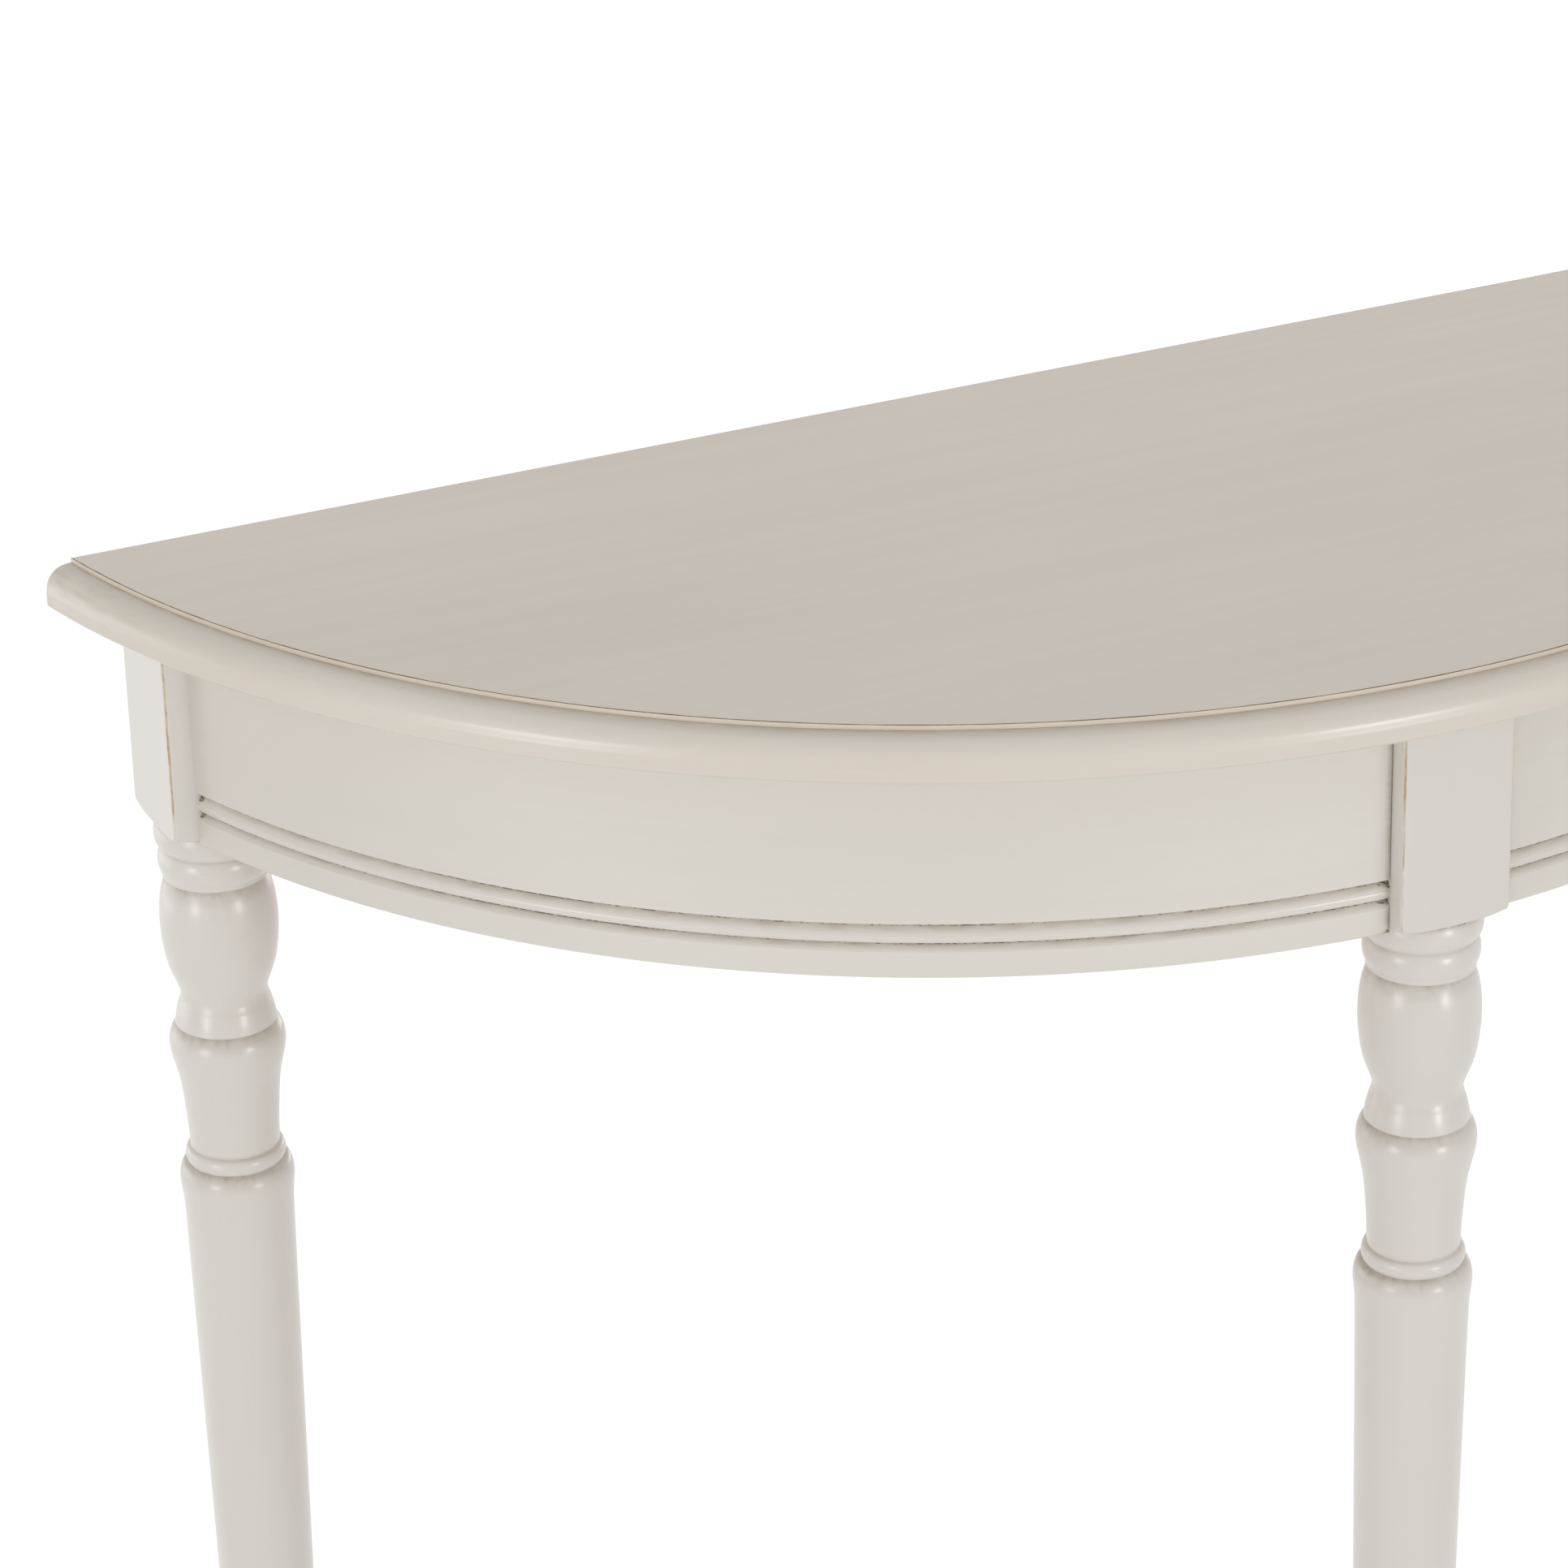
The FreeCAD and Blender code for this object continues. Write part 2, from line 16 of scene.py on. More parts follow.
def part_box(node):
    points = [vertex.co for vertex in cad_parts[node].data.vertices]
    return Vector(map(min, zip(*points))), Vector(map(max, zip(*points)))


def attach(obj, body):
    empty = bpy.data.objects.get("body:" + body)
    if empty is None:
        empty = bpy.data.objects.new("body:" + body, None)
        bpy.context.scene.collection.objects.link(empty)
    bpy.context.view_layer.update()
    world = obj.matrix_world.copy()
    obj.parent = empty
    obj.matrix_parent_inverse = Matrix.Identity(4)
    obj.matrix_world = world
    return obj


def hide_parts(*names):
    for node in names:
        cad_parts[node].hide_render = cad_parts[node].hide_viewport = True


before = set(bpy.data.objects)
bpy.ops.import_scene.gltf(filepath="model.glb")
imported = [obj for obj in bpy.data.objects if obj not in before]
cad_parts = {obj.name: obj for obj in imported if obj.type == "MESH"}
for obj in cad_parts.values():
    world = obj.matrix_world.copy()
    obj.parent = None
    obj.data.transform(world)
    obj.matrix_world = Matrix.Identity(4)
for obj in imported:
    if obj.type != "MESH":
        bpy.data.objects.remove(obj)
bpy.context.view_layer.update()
print("frame holds", len(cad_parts), "nodes")

# %% [markdown]
# The main sizes follow from the frame, and the small ones of a moulding are given where it is made.
# The top is a segment of a circle, so its width and depth give the circle: the curved edge, the apron
# and the moulding are all arcs about one centre that lies behind the back edge.

# %% Sizes that follow from the frame
top_low, top_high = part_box("top_panel")
half_width = top_high.x
depth = top_high.y - top_low.y
arc_radius = (half_width ** 2 + depth ** 2) / (2 * depth)
arc_centre = Vector((0, top_low.y + arc_radius, 0))
arc_half_angle = math.acos((arc_centre.y - top_high.y) / arc_radius)
print("arc radius", round(arc_radius, 4), "half angle", round(math.degrees(arc_half_angle), 1))

# %% [markdown]
# A turner cuts a leg against a template, and a joiner runs a moulding with a shaped cutter. Both are
# the same idea: one outline, carried around an axis. Here the template is a curve object with one
# spline for each stretch between two corners. Automatic handles keep a stretch smooth, and the corners
# between the stretches stay sharp because each spline ends there. The curve becomes edges in a bmesh,
# ready for the spin operator.

# %% Template from stretches
WELD = 0.000001


def straights(corners):
    """One stretch for each straight line between neighbouring corners."""
    return [list(pair) for pair in zip(corners, corners[1:])]


def template(stretches, fineness):
    """A bmesh of edges through stretches of (radius, height) knots, drawn in the plane of X and Z."""
    curve = bpy.data.curves.new("template", "CURVE")
    curve.dimensions = "3D"
    curve.resolution_u = fineness
    for knots in stretches:
        spline = curve.splines.new("BEZIER")
        spline.bezier_points.add(len(knots) - 1)
        for point, (radius, height) in zip(spline.bezier_points, knots):
            point.handle_left_type = "AUTO"
            point.handle_right_type = "AUTO"
            point.co = (radius, 0, height)
    holder = bpy.data.objects.new("template", curve)
    drawn = bpy.data.meshes.new_from_object(holder)
    outline = bmesh.new()
    outline.from_mesh(drawn)
    bmesh.ops.remove_doubles(outline, verts=outline.verts, dist=WELD)
    bpy.data.objects.remove(holder)
    bpy.data.curves.remove(curve)
    bpy.data.meshes.remove(drawn)
    return outline


print("points within", WELD, "m of each other become one")

# %% [markdown]
# The spin operator carries the template around an upright axis, as the lathe turns a leg past the tool.
# A saw cut then ends a piece where it meets its neighbour. Cutting with a plane and closing the cut
# with one face keeps the skin closed, and the cut's edges are at hand for easing.

# %% Spin and saw
UPWARD = Vector((0, 0, 1))


def carry_round(outline, centre, start, sweep, steps):
    """Spins a template about an upright axis, from a start angle that counts from the front to the right."""
    place = Matrix.Translation(centre) @ Matrix.Rotation(start - math.pi / 2, 4, "Z")
    bmesh.ops.transform(outline, matrix=place, verts=outline.verts)
    whole = abs(sweep) > math.tau - WELD
    bmesh.ops.spin(outline, geom=outline.verts[:] + outline.edges[:], cent=centre, axis=UPWARD,
                   angle=sweep, steps=steps, use_merge=whole, use_duplicate=False)


def saw(shape, place, outward):
    """Saws a shape off at a plane, closes the cut with one face and returns the cut's edges."""
    cut = bmesh.ops.bisect_plane(shape, geom=shape.verts[:] + shape.edges[:] + shape.faces[:], dist=WELD,
                                 plane_co=place, plane_no=outward, clear_outer=True)
    rim = [item for item in cut["geom_cut"] if isinstance(item, bmesh.types.BMEdge)]
    bmesh.ops.contextual_create(shape, geom=rim)
    return rim


print("made the spin and the saw")

# %% [markdown]
# The paint on this table was brushed on, wiped with a brown glaze and rubbed through along its edges.
# A material has to know where that happens. Three attributes tell it: "grain" runs along the wood of
# each piece, "hollow" grows where glaze stays behind and where shade and shadow are painted in, and
# "arris" grows towards an edge that hands rub, which on the leg blocks is partly painted shade.
# They are measured from the shape once and stored on the points, so they follow the piece.

# %% A finished piece
BODY = "root"
SHARP = math.radians(34)


def falloff(distance, reach):
    """1 at no distance, 0 from the reach on."""
    return max(0.0, 1.0 - abs(distance) / reach)


def finish_piece(name, shape, materials, slot, grain, hollow=None, arris=None, smooth=True, sharp=SHARP):
    """Makes an object of a bmesh, stores its three attributes and sets it on the table's body."""
    bmesh.ops.remove_doubles(shape, verts=shape.verts, dist=WELD)
    bmesh.ops.recalc_face_normals(shape, faces=shape.faces)
    mesh = bpy.data.meshes.new(name)
    shape.to_mesh(mesh)
    shape.free()
    for material in materials:
        mesh.materials.append(material)
    mesh.polygons.foreach_set("use_smooth", [smooth] * len(mesh.polygons))
    if smooth:
        mesh.set_sharp_from_angle(angle=sharp)
    run = mesh.attributes.new("grain", "FLOAT_VECTOR", "POINT")
    run.data.foreach_set("vector", [value for vertex in mesh.vertices for value in grain(vertex.co)])
    for title, measure in (("hollow", hollow), ("arris", arris)):
        layer = mesh.attributes.new(title, "FLOAT", "POINT")
        if measure:
            layer.data.foreach_set("value", [measure(vertex.co) for vertex in mesh.vertices])
    piece = bpy.data.objects.new(name, mesh)
    bpy.context.scene.collection.objects.link(piece)
    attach(piece, BODY)
    print(name, "has", len(mesh.polygons), "faces")
    return piece


print("finished pieces ride on", BODY)

# %% [markdown]
# Node groups keep the shared effects in one place. One helper makes a group with its sockets, one
# places a node and one sets or links its inputs. The others are short names for nodes that come up
# often, so that each effect below reads as a list of what it does.

# %% Helpers for shader trees
def new_group(name, inputs, outputs):
    tree = bpy.data.node_groups.new(name, "ShaderNodeTree")
    for title, kind, value in inputs:
        socket = tree.interface.new_socket(title, in_out="INPUT", socket_type=kind)
        if value is not None:
            socket.default_value = value
    for title, kind in outputs:
        tree.interface.new_socket(title, in_out="OUTPUT", socket_type=kind)
    return tree, tree.nodes.new("NodeGroupInput"), tree.nodes.new("NodeGroupOutput")


def connect(tree, node, inputs):
    """Links each input to a socket, or sets it to a value."""
    for title, value in inputs.items():
        if isinstance(value, bpy.types.NodeSocket):
            tree.links.new(value, node.inputs[title])
        else:
            node.inputs[title].default_value = value
    return node


def put(tree, kind, inputs=None, **settings):
    """Places a node, sets its properties, and sets or links its inputs."""
    node = tree.nodes.new("ShaderNode" + kind)
    for title, value in settings.items():
        setattr(node, title, value)
    return connect(tree, node, inputs or {})


def sums(tree, operation, first, second=0.0, third=0.0, clamp=False):
    return put(tree, "Math", {0: first, 1: second, 2: third}, operation=operation, use_clamp=clamp).outputs[0]


def remap(tree, value, low, high, to_low=0.0, to_high=1.0):
    return put(tree, "MapRange", {"Value": value, "From Min": low, "From Max": high, "To Min": to_low,
                                  "To Max": to_high}, interpolation_type="SMOOTHSTEP").outputs[0]


def blend_colour(tree, share, first, second):
    """Mixes two colours. A Mix node keeps its colour sockets behind those for numbers and vectors."""
    return put(tree, "Mix", {0: share, 6: first, 7: second}, data_type="RGBA").outputs[2]


def swatch(red, green, blue):
    """A colour as a paint chart gives it, from 0 to 255, in the linear numbers that shaders use."""
    parts = [part / 255 for part in (red, green, blue)]
    linear = [part / 12.92 if part <= 0.04045 else ((part + 0.055) / 1.055) ** 2.4 for part in parts]
    return (*linear, 1.0)


def stretched(tree, vector, along, across):
    """A vector whose patterns are drawn out along the grain."""
    return put(tree, "Mapping", {"Vector": vector, "Scale": (along, across, across)}).outputs[0]


def noise(tree, vector, scale, detail=2.0, roughness=0.5):
    return put(tree, "TexNoise", {"Vector": vector, "Scale": scale, "Detail": detail,
                                  "Roughness": roughness}).outputs["Fac"]


def grain_noise(tree, vector, along, across, detail=2.0, roughness=0.6):
    """Noise drawn out along the grain. Along and across say how often it changes in a metre."""
    return noise(tree, stretched(tree, vector, along, across), 1.0, detail, roughness)


print("mid grey", round(swatch(128, 128, 128)[0], 3), "in linear numbers")

# %% [markdown]
# Brush marks: bristles leave long faint lines in the paint, lighter where the coat is thin. Noise that
# is stretched along the grain gives both the lines and their ridges. A second, much larger noise gives
# the cloudy tone of a coat that was wiped by hand.

# %% Brush marks group
brush_marks, given, result = new_group(
    "brush_marks",
    [("Vector", "NodeSocketVector", None)],
    [("Lines", "NodeSocketFloat"), ("Clouds", "NodeSocketFloat"), ("Ridges", "NodeSocketFloat")])
run = given.outputs["Vector"]
broad = grain_noise(brush_marks, run, along=3.5, across=95.0, detail=4.0)
fine = grain_noise(brush_marks, run, along=14.0, across=700.0, detail=3.0)
clouds = grain_noise(brush_marks, run, along=3.0, across=7.0, detail=3.0, roughness=0.5)
lines = sums(brush_marks, "MULTIPLY_ADD", broad, 0.65, sums(brush_marks, "MULTIPLY", fine, 0.35))
ridges = sums(brush_marks, "MULTIPLY_ADD", broad, 0.6, fine)
connect(brush_marks, result, {"Lines": lines, "Clouds": clouds, "Ridges": ridges})
print("made", brush_marks.name)

# %% [markdown]
# Glaze: after wiping, thin brown colour is left in every groove and quirk, densest at the bottom. Deep
# down it also dries into dark specks that come and go. Where the hollow is deepest, at the ends of the
# grooves and the foot of the seam, the specks turn into dark spots of painted shadow. The film is the
# hollow attribute with noise added to it, so it also carries the painted shade and shadow that the
# attribute holds. The specks are a finer noise that counts only where the hollow is deep.

# %% Glaze and painted shade group
glaze_and_painted_shade, given, result = new_group(
    "glaze_and_painted_shade",
    [("Vector", "NodeSocketVector", None), ("Hollow", "NodeSocketFloat", 0.0)],
    [("Film_and_shade", "NodeSocketFloat"), ("Specks_and_shadow", "NodeSocketFloat")])
run = given.outputs["Vector"]
depth_in = given.outputs["Hollow"]
uneven = grain_noise(glaze_and_painted_shade, run, along=60.0, across=260.0, detail=1.5)
grit = grain_noise(glaze_and_painted_shade, run, along=420.0, across=900.0)
patches = grain_noise(glaze_and_painted_shade, run, along=9.0, across=30.0, roughness=0.5)
thick = sums(glaze_and_painted_shade, "MULTIPLY_ADD", uneven, 0.45, depth_in)
veil = remap(glaze_and_painted_shade, depth_in, 0.0, 0.3, to_high=0.15)
film_and_shade = sums(glaze_and_painted_shade, "ADD", remap(glaze_and_painted_shade, thick, 0.5, 1.3), veil, clamp=True)
deep = remap(glaze_and_painted_shade, depth_in, 0.54, 0.585, to_high=0.8)
dots = remap(glaze_and_painted_shade, sums(glaze_and_painted_shade, "MULTIPLY_ADD", patches, 0.5, grit), 0.74, 0.86)
# beyond 1.1 the hollow marks painted shadow at the ends of the grooves and the foot of the seam
pool_and_shadow = remap(glaze_and_painted_shade, depth_in, 1.1, 1.5)
specks_and_shadow = sums(glaze_and_painted_shade, "MAXIMUM", sums(glaze_and_painted_shade, "MULTIPLY", deep, dots), pool_and_shadow)
connect(glaze_and_painted_shade, result, {"Film_and_shade": film_and_shade, "Specks_and_shadow": specks_and_shadow})
print("made", glaze_and_painted_shade.name)

# %% [markdown]
# Rubbed edges: sanding goes through the paint on an arris, first to the ochre undercoat and then to
# the dark wood. On the upright edges of the leg blocks the same line is partly painted shade. The mask
# is the arris attribute against a noise drawn out along the grain, so that the wear comes and goes
# along an edge, and it has two levels.

# %% Rubbed edges and painted edge shade group
rubbed_and_shaded_edges, given, result = new_group(
    "rubbed_and_shaded_edges",
    [("Vector", "NodeSocketVector", None), ("Arris", "NodeSocketFloat", 0.0)],
    [("Undercoat", "NodeSocketFloat"), ("Wood", "NodeSocketFloat")])
run = given.outputs["Vector"]
edge = given.outputs["Arris"]
long_noise = grain_noise(rubbed_and_shaded_edges, run, along=18.0, across=90.0, detail=3.0)
small_noise = grain_noise(rubbed_and_shaded_edges, run, along=190.0, across=600.0)
bite = sums(rubbed_and_shaded_edges, "MULTIPLY_ADD", small_noise, 0.3, edge)
bite = sums(rubbed_and_shaded_edges, "MULTIPLY_ADD", long_noise, 0.9, bite)
touched = remap(rubbed_and_shaded_edges, edge, 0.05, 0.4)
to_undercoat = sums(rubbed_and_shaded_edges, "MULTIPLY", remap(rubbed_and_shaded_edges, bite, 0.95, 1.2), touched)
to_wood = sums(rubbed_and_shaded_edges, "MULTIPLY", remap(rubbed_and_shaded_edges, bite, 1.15, 1.4), touched)
connect(rubbed_and_shaded_edges, result, {"Undercoat": to_undercoat, "Wood": to_wood})
print("made", rubbed_and_shaded_edges.name)

# %% [markdown]
# Wood figure: growth rings are nested cylinders along the grain. A ring-shaped wave about the grain
# axis shows long lines on the faces and arcs on the ends, as a sawn board does, and a stretched noise
# adds the pores.

# %% Wood figure group
wood_figure, given, result = new_group(
    "wood_figure",
    [("Vector", "NodeSocketVector", None), ("Rings", "NodeSocketFloat", 60.0)],
    [("Figure", "NodeSocketFloat"), ("Pores", "NodeSocketFloat")])
run = given.outputs["Vector"]
wandering = stretched(wood_figure, run, along=0.25, across=1.0)
wave_inputs = {"Vector": wandering, "Scale": given.outputs["Rings"], "Distortion": 2.2, "Detail": 3.0,
               "Detail Scale": 0.6}
rings = put(wood_figure, "TexWave", wave_inputs, wave_type="RINGS", rings_direction="X", wave_profile="SAW")
pores = grain_noise(wood_figure, run, along=40.0, across=1100.0)
connect(wood_figure, result, {"Figure": rings.outputs["Fac"], "Pores": pores})
print("made", wood_figure.name)

# %% [markdown]
# The paint itself is a warm greyish cream with a satin sheen. The material mixes from the bottom up,
# in the order in which the maker worked: the coat with its brush marks, the glaze, and the rubbing. The
# glaze and rubbing layers also carry the painted shade and shadow of the hollow and arris attributes.
# The sheen is even, and turns duller only where the paint is rubbed off. Four tones serve the top, its
# moulded edge, the aprons with the back rail, and the legs.

# %% Cream paint
# the glaze brown also colours the painted shade and shadow that the hollow attribute carries
glaze_and_shade_brown = swatch(136, 117, 85)
# the speck brown also paints dark spots of painted shadow at groove ends and the seam's foot
speck_and_shadow_brown = swatch(74, 61, 48)
# the undercoat and wood colours also draw the line of painted shade on the blocks' upright edges
undercoat_ochre = swatch(184, 160, 118)
worn_wood = swatch(96, 78, 60)
film_and_shade_cover = 0.85
paint_roughness = 0.275
rubbed_dullness = 0.2
ridge_strength = 0.03
ridge_height = 0.0004


def begin_material(name):
    material = bpy.data.materials.new(name)
    material.use_nodes = True
    tree = material.node_tree
    return material, tree, tree.nodes["Principled BSDF"]


def attribute(tree, title):
    return put(tree, "Attribute", attribute_type="GEOMETRY", attribute_name=title)


def make_cream_paint(name, light, dark, streaks):
    """Cream paint between two tones. Streaks says how much its brush marks show."""
    material, tree, surface = begin_material(name)
    grain = attribute(tree, "grain").outputs["Vector"]
    hollow = attribute(tree, "hollow").outputs["Fac"]
    arris = attribute(tree, "arris").outputs["Fac"]
    brush = put(tree, "Group", {"Vector": grain}, node_tree=brush_marks)
    glaze_and_shade = put(tree, "Group", {"Vector": grain, "Hollow": hollow}, node_tree=glaze_and_painted_shade)
    rub_and_shade = put(tree, "Group", {"Vector": grain, "Arris": arris}, node_tree=rubbed_and_shaded_edges)
    tone = remap(tree, brush.outputs["Lines"], 0.3, 0.7, 0.5 - streaks / 2, 0.5 + streaks / 2)
    cloudy = remap(tree, brush.outputs["Clouds"], 0.3, 0.7, -0.3, 0.3)
    coat = blend_colour(tree, sums(tree, "ADD", tone, cloudy, clamp=True), dark, light)
    cover = sums(tree, "MULTIPLY", glaze_and_shade.outputs["Film_and_shade"], film_and_shade_cover)
    glazed_and_shaded = blend_colour(tree, cover, coat, glaze_and_shade_brown)
    glazed_and_shaded = blend_colour(tree, glaze_and_shade.outputs["Specks_and_shadow"], glazed_and_shaded, speck_and_shadow_brown)
    worn = blend_colour(tree, rub_and_shade.outputs["Undercoat"], glazed_and_shaded, undercoat_ochre)
    worn = blend_colour(tree, rub_and_shade.outputs["Wood"], worn, worn_wood)
    dull = sums(tree, "MULTIPLY_ADD", rub_and_shade.outputs["Undercoat"], rubbed_dullness, paint_roughness)
    bump = put(tree, "Bump", {"Strength": ridge_strength, "Distance": ridge_height,
                              "Height": brush.outputs["Ridges"]})
    connect(tree, surface, {"Base Color": worn, "Roughness": dull, "Normal": bump.outputs["Normal"]})
    return material


top_paint = make_cream_paint("cream_paint_top", swatch(226, 216, 202), swatch(219, 208, 193), streaks=0.5)
edge_paint = make_cream_paint("cream_paint_edge", swatch(224, 216, 205), swatch(218, 209, 197), streaks=0.3)
apron_paint = make_cream_paint("cream_paint_apron", swatch(224, 219, 211), swatch(219, 214, 204), streaks=0.3)
leg_paint = make_cream_paint("cream_paint_leg", swatch(222, 218, 211), swatch(217, 212, 204), streaks=0.2)
print("made four tones of cream paint")

# %% [markdown]
# Where nobody looks, the wood is left bare: the inside of the aprons, the underside of the top and the
# blocks in the corners. Pieces that carry the grain attribute read their figure from it. The solids
# that stay as they are have no such attribute, so their material turns the object's own coordinates
# until the grain runs the right way.

# %% Bare wood
pine_early = swatch(214, 180, 132)
pine_late = swatch(176, 130, 82)
beech_early = swatch(216, 186, 146)
beech_late = swatch(196, 160, 118)
figure_strength = 0.2
figure_height = 0.0004


def make_wood(name, early, late, rings, turn=None):
    """Bare wood. Its grain follows the attribute, or the object's coordinates turned by some angles."""
    material, tree, surface = begin_material(name)
    if turn is None:
        grain = attribute(tree, "grain").outputs["Vector"]
    else:
        own = put(tree, "TexCoord").outputs["Object"]
        grain = put(tree, "Mapping", {"Vector": own, "Rotation": turn}).outputs[0]
    figure = put(tree, "Group", {"Vector": grain, "Rings": rings}, node_tree=wood_figure)
    colour = blend_colour(tree, figure.outputs["Figure"], early, late)
    pore_share = remap(tree, figure.outputs["Pores"], 0.55, 0.8, to_high=0.45)
    colour = blend_colour(tree, pore_share, colour, late)
    dull = remap(tree, figure.outputs["Pores"], 0.3, 0.7, 0.55, 0.72)
    height = sums(tree, "ADD", figure.outputs["Pores"], figure.outputs["Figure"])
    bump = put(tree, "Bump", {"Strength": figure_strength, "Distance": figure_height, "Height": height})
    connect(tree, surface, {"Base Color": colour, "Roughness": dull, "Normal": bump.outputs["Normal"]})
    return material


quarter_turn = math.pi / 2
bare_pine = make_wood("bare_pine", pine_early, pine_late, rings=55.0)
pine_along_x = make_wood("pine_along_x", pine_early, pine_late, rings=70.0, turn=(0.0, 0.0, 0.0))
pine_along_y = make_wood("pine_along_y", pine_early, pine_late, rings=70.0, turn=(0.0, 0.0, quarter_turn))
pine_upright = make_wood("pine_upright", pine_early, pine_late, rings=70.0, turn=(0.0, quarter_turn, 0.0))
beech = make_wood("beech", beech_early, beech_late, rings=160.0, turn=(0.0, 0.0, 0.0))
print("made five woods")

# %% [markdown]
# The top: one panel whose curved edge carries a fillet, a narrow ledge and an ovolo. The template is
# the section of the panel from the arc's centre outwards. Of two extra points near the rim, one bounds
# the thin line of wear on the top face and one the plain flat inside it. A third, below, bounds the
# paint, which ends a little way in.

# %% Section of the top
fillet_height = 0.0026
ledge_width = 0.0014
ovolo_width = 0.012
ovolo_height = 0.013
under_chamfer = 0.0015
painted_below = 0.042
rim_line = 0.0012
rim_face = 0.004
face_radius = arc_radius - ledge_width - ovolo_width
bare_radius = arc_radius - painted_below
ovolo_centre = arc_radius - ovolo_width
ledge_z = top_high.z - fillet_height
ovolo_foot = ledge_z - ovolo_height

ovolo_turns = [math.radians(turn) for turn in (0, 22.5, 45, 67.5, 90)]
ovolo_knots = [(ovolo_centre + ovolo_width * math.sin(turn), ovolo_foot + ovolo_height * math.cos(turn))
               for turn in ovolo_turns]
face_corners = [
    (0, top_high.z),
    (face_radius - rim_face, top_high.z),
    (face_radius - rim_line, top_high.z),
    (face_radius, top_high.z),
    (face_radius, ledge_z),
    (ovolo_centre, ledge_z),
]
under_corners = [
    (arc_radius, ovolo_foot),
    (arc_radius, top_low.z + under_chamfer),
    (arc_radius - under_chamfer, top_low.z),
    (bare_radius, top_low.z),
    (0, top_low.z),
]
top_stretches = straights(face_corners) + [ovolo_knots] + straights(under_corners)
print("section of the top has", len(top_stretches), "stretches")

# %% [markdown]
# On the real top, glaze lies on the ledge beside the fillet, and the shade in the ledge's quirk is
# painted in with it. The moulding turns darker towards its two tips, and the rim of the top face is
# rubbed through in a thin line. The functions below measure that from where a point lies: its distance
# to the arc's axis, its height and, for the tips, how near it is to the back. Around the edge the grain
# follows the curve.

# %% Glaze, wear and painted shade of the top
CLOSE = WELD * 10
rim_wear = 1.05
fillet_line = 0.0004
# the ledge glaze also paints the shade in the ledge's quirk
ledge_glaze_and_shade = 0.54
ledge_reach = 0.009
tip_shade = 0.42
tip_shade_reach = 0.24


def arc_measures(place):
    """Distance of a place from the arc's upright axis, and its angle from the front to the right."""
    aside = place.x - arc_centre.x
    ahead = arc_centre.y - place.y
    return math.hypot(aside, ahead), math.atan2(aside, ahead)


def top_grain(place):
    radius, angle = arc_measures(place)
    if radius < face_radius - WELD:
        return tuple(place)
    return angle * arc_radius, place.z, radius


def top_hollow(place):
    radius, _ = arc_measures(place)
    if radius < face_radius - CLOSE:
        return 0.0
    if radius < face_radius + CLOSE:
        return ledge_glaze_and_shade * falloff(place.z - ledge_z, fillet_line)
    ledge = ledge_glaze_and_shade * falloff(math.hypot(radius - face_radius, place.z - ledge_z), ledge_reach)
    return max(ledge, tip_shade * falloff(top_high.y - place.y, tip_shade_reach))


def top_arris(place):
    radius, _ = arc_measures(place)
    if abs(place.z - top_high.z) < CLOSE:
        return rim_wear * falloff(radius - face_radius, rim_line)
    if radius < face_radius + CLOSE:
        return rim_wear * falloff(top_high.z - place.z, fillet_line)
    return 0.0


print("glaze reaches", ledge_reach, "m over the ledge")

# %% [markdown]
# The section is spun a little further than needed at both ends, and one saw cut makes the straight
# back. Spinning leaves hundreds of thin slices in the flat top and underside, which all meet at the
# arc's axis. They are joined to one face each before the cut, so that the flats shade evenly.

# %% Top panel
TOP_SHARP = math.radians(20)
moulding_fineness = 8
top_steps = 256
end_overlap = math.radians(3)
back_round = 0.0008


def join_flat(shape, height, edge_radius):
    """Joins the level faces at a height, inside a radius about the arc's axis, to one face."""
    flat = []
    for face in shape.faces:
        level = all(abs(vert.co.z - height) < CLOSE for vert in face.verts)
        if level and arc_measures(face.calc_center_median())[0] < edge_radius:
            flat.append(face)
    bmesh.ops.dissolve_faces(shape, faces=flat, use_verts=True)


def make_top():
    shape = template(top_stretches, moulding_fineness)
    reach = arc_half_angle + end_overlap
    carry_round(shape, arc_centre, -reach, 2 * reach, top_steps)
    join_flat(shape, top_high.z, face_radius - rim_face)
    join_flat(shape, top_low.z, bare_radius)
    rim = saw(shape, Vector((0, top_high.y, 0)), Vector((0, 1, 0)))
    back_edges = [edge for edge in rim if edge.is_valid
                  and all(min(top_high.z - v.co.z, v.co.z - top_low.z) < WELD for v in edge.verts)]
    bmesh.ops.bevel(shape, geom=back_edges, offset=back_round, segments=2, profile=0.5, affect="EDGES",
                    material=-1)
    for face in shape.faces:
        middle = face.calc_center_median()
        if middle.z < top_low.z + CLOSE and arc_measures(middle)[0] < bare_radius:
            face.material_index = 1
        elif arc_measures(middle)[0] > face_radius + WELD:
            face.material_index = 2
    piece = finish_piece("half_round_top", shape, [top_paint, bare_pine, edge_paint], "painted_wood",
                         top_grain, top_hollow, top_arris, sharp=TOP_SHARP)
    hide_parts("top_panel")


make_top()

# %% [markdown]
# The aprons: bent boards between the leg blocks, with two V-grooves and a bead near the lower edge.
# The upper wall of each groove is level and the lower wall slopes out, so the glaze lies on the slope.
# The same section serves both sides.

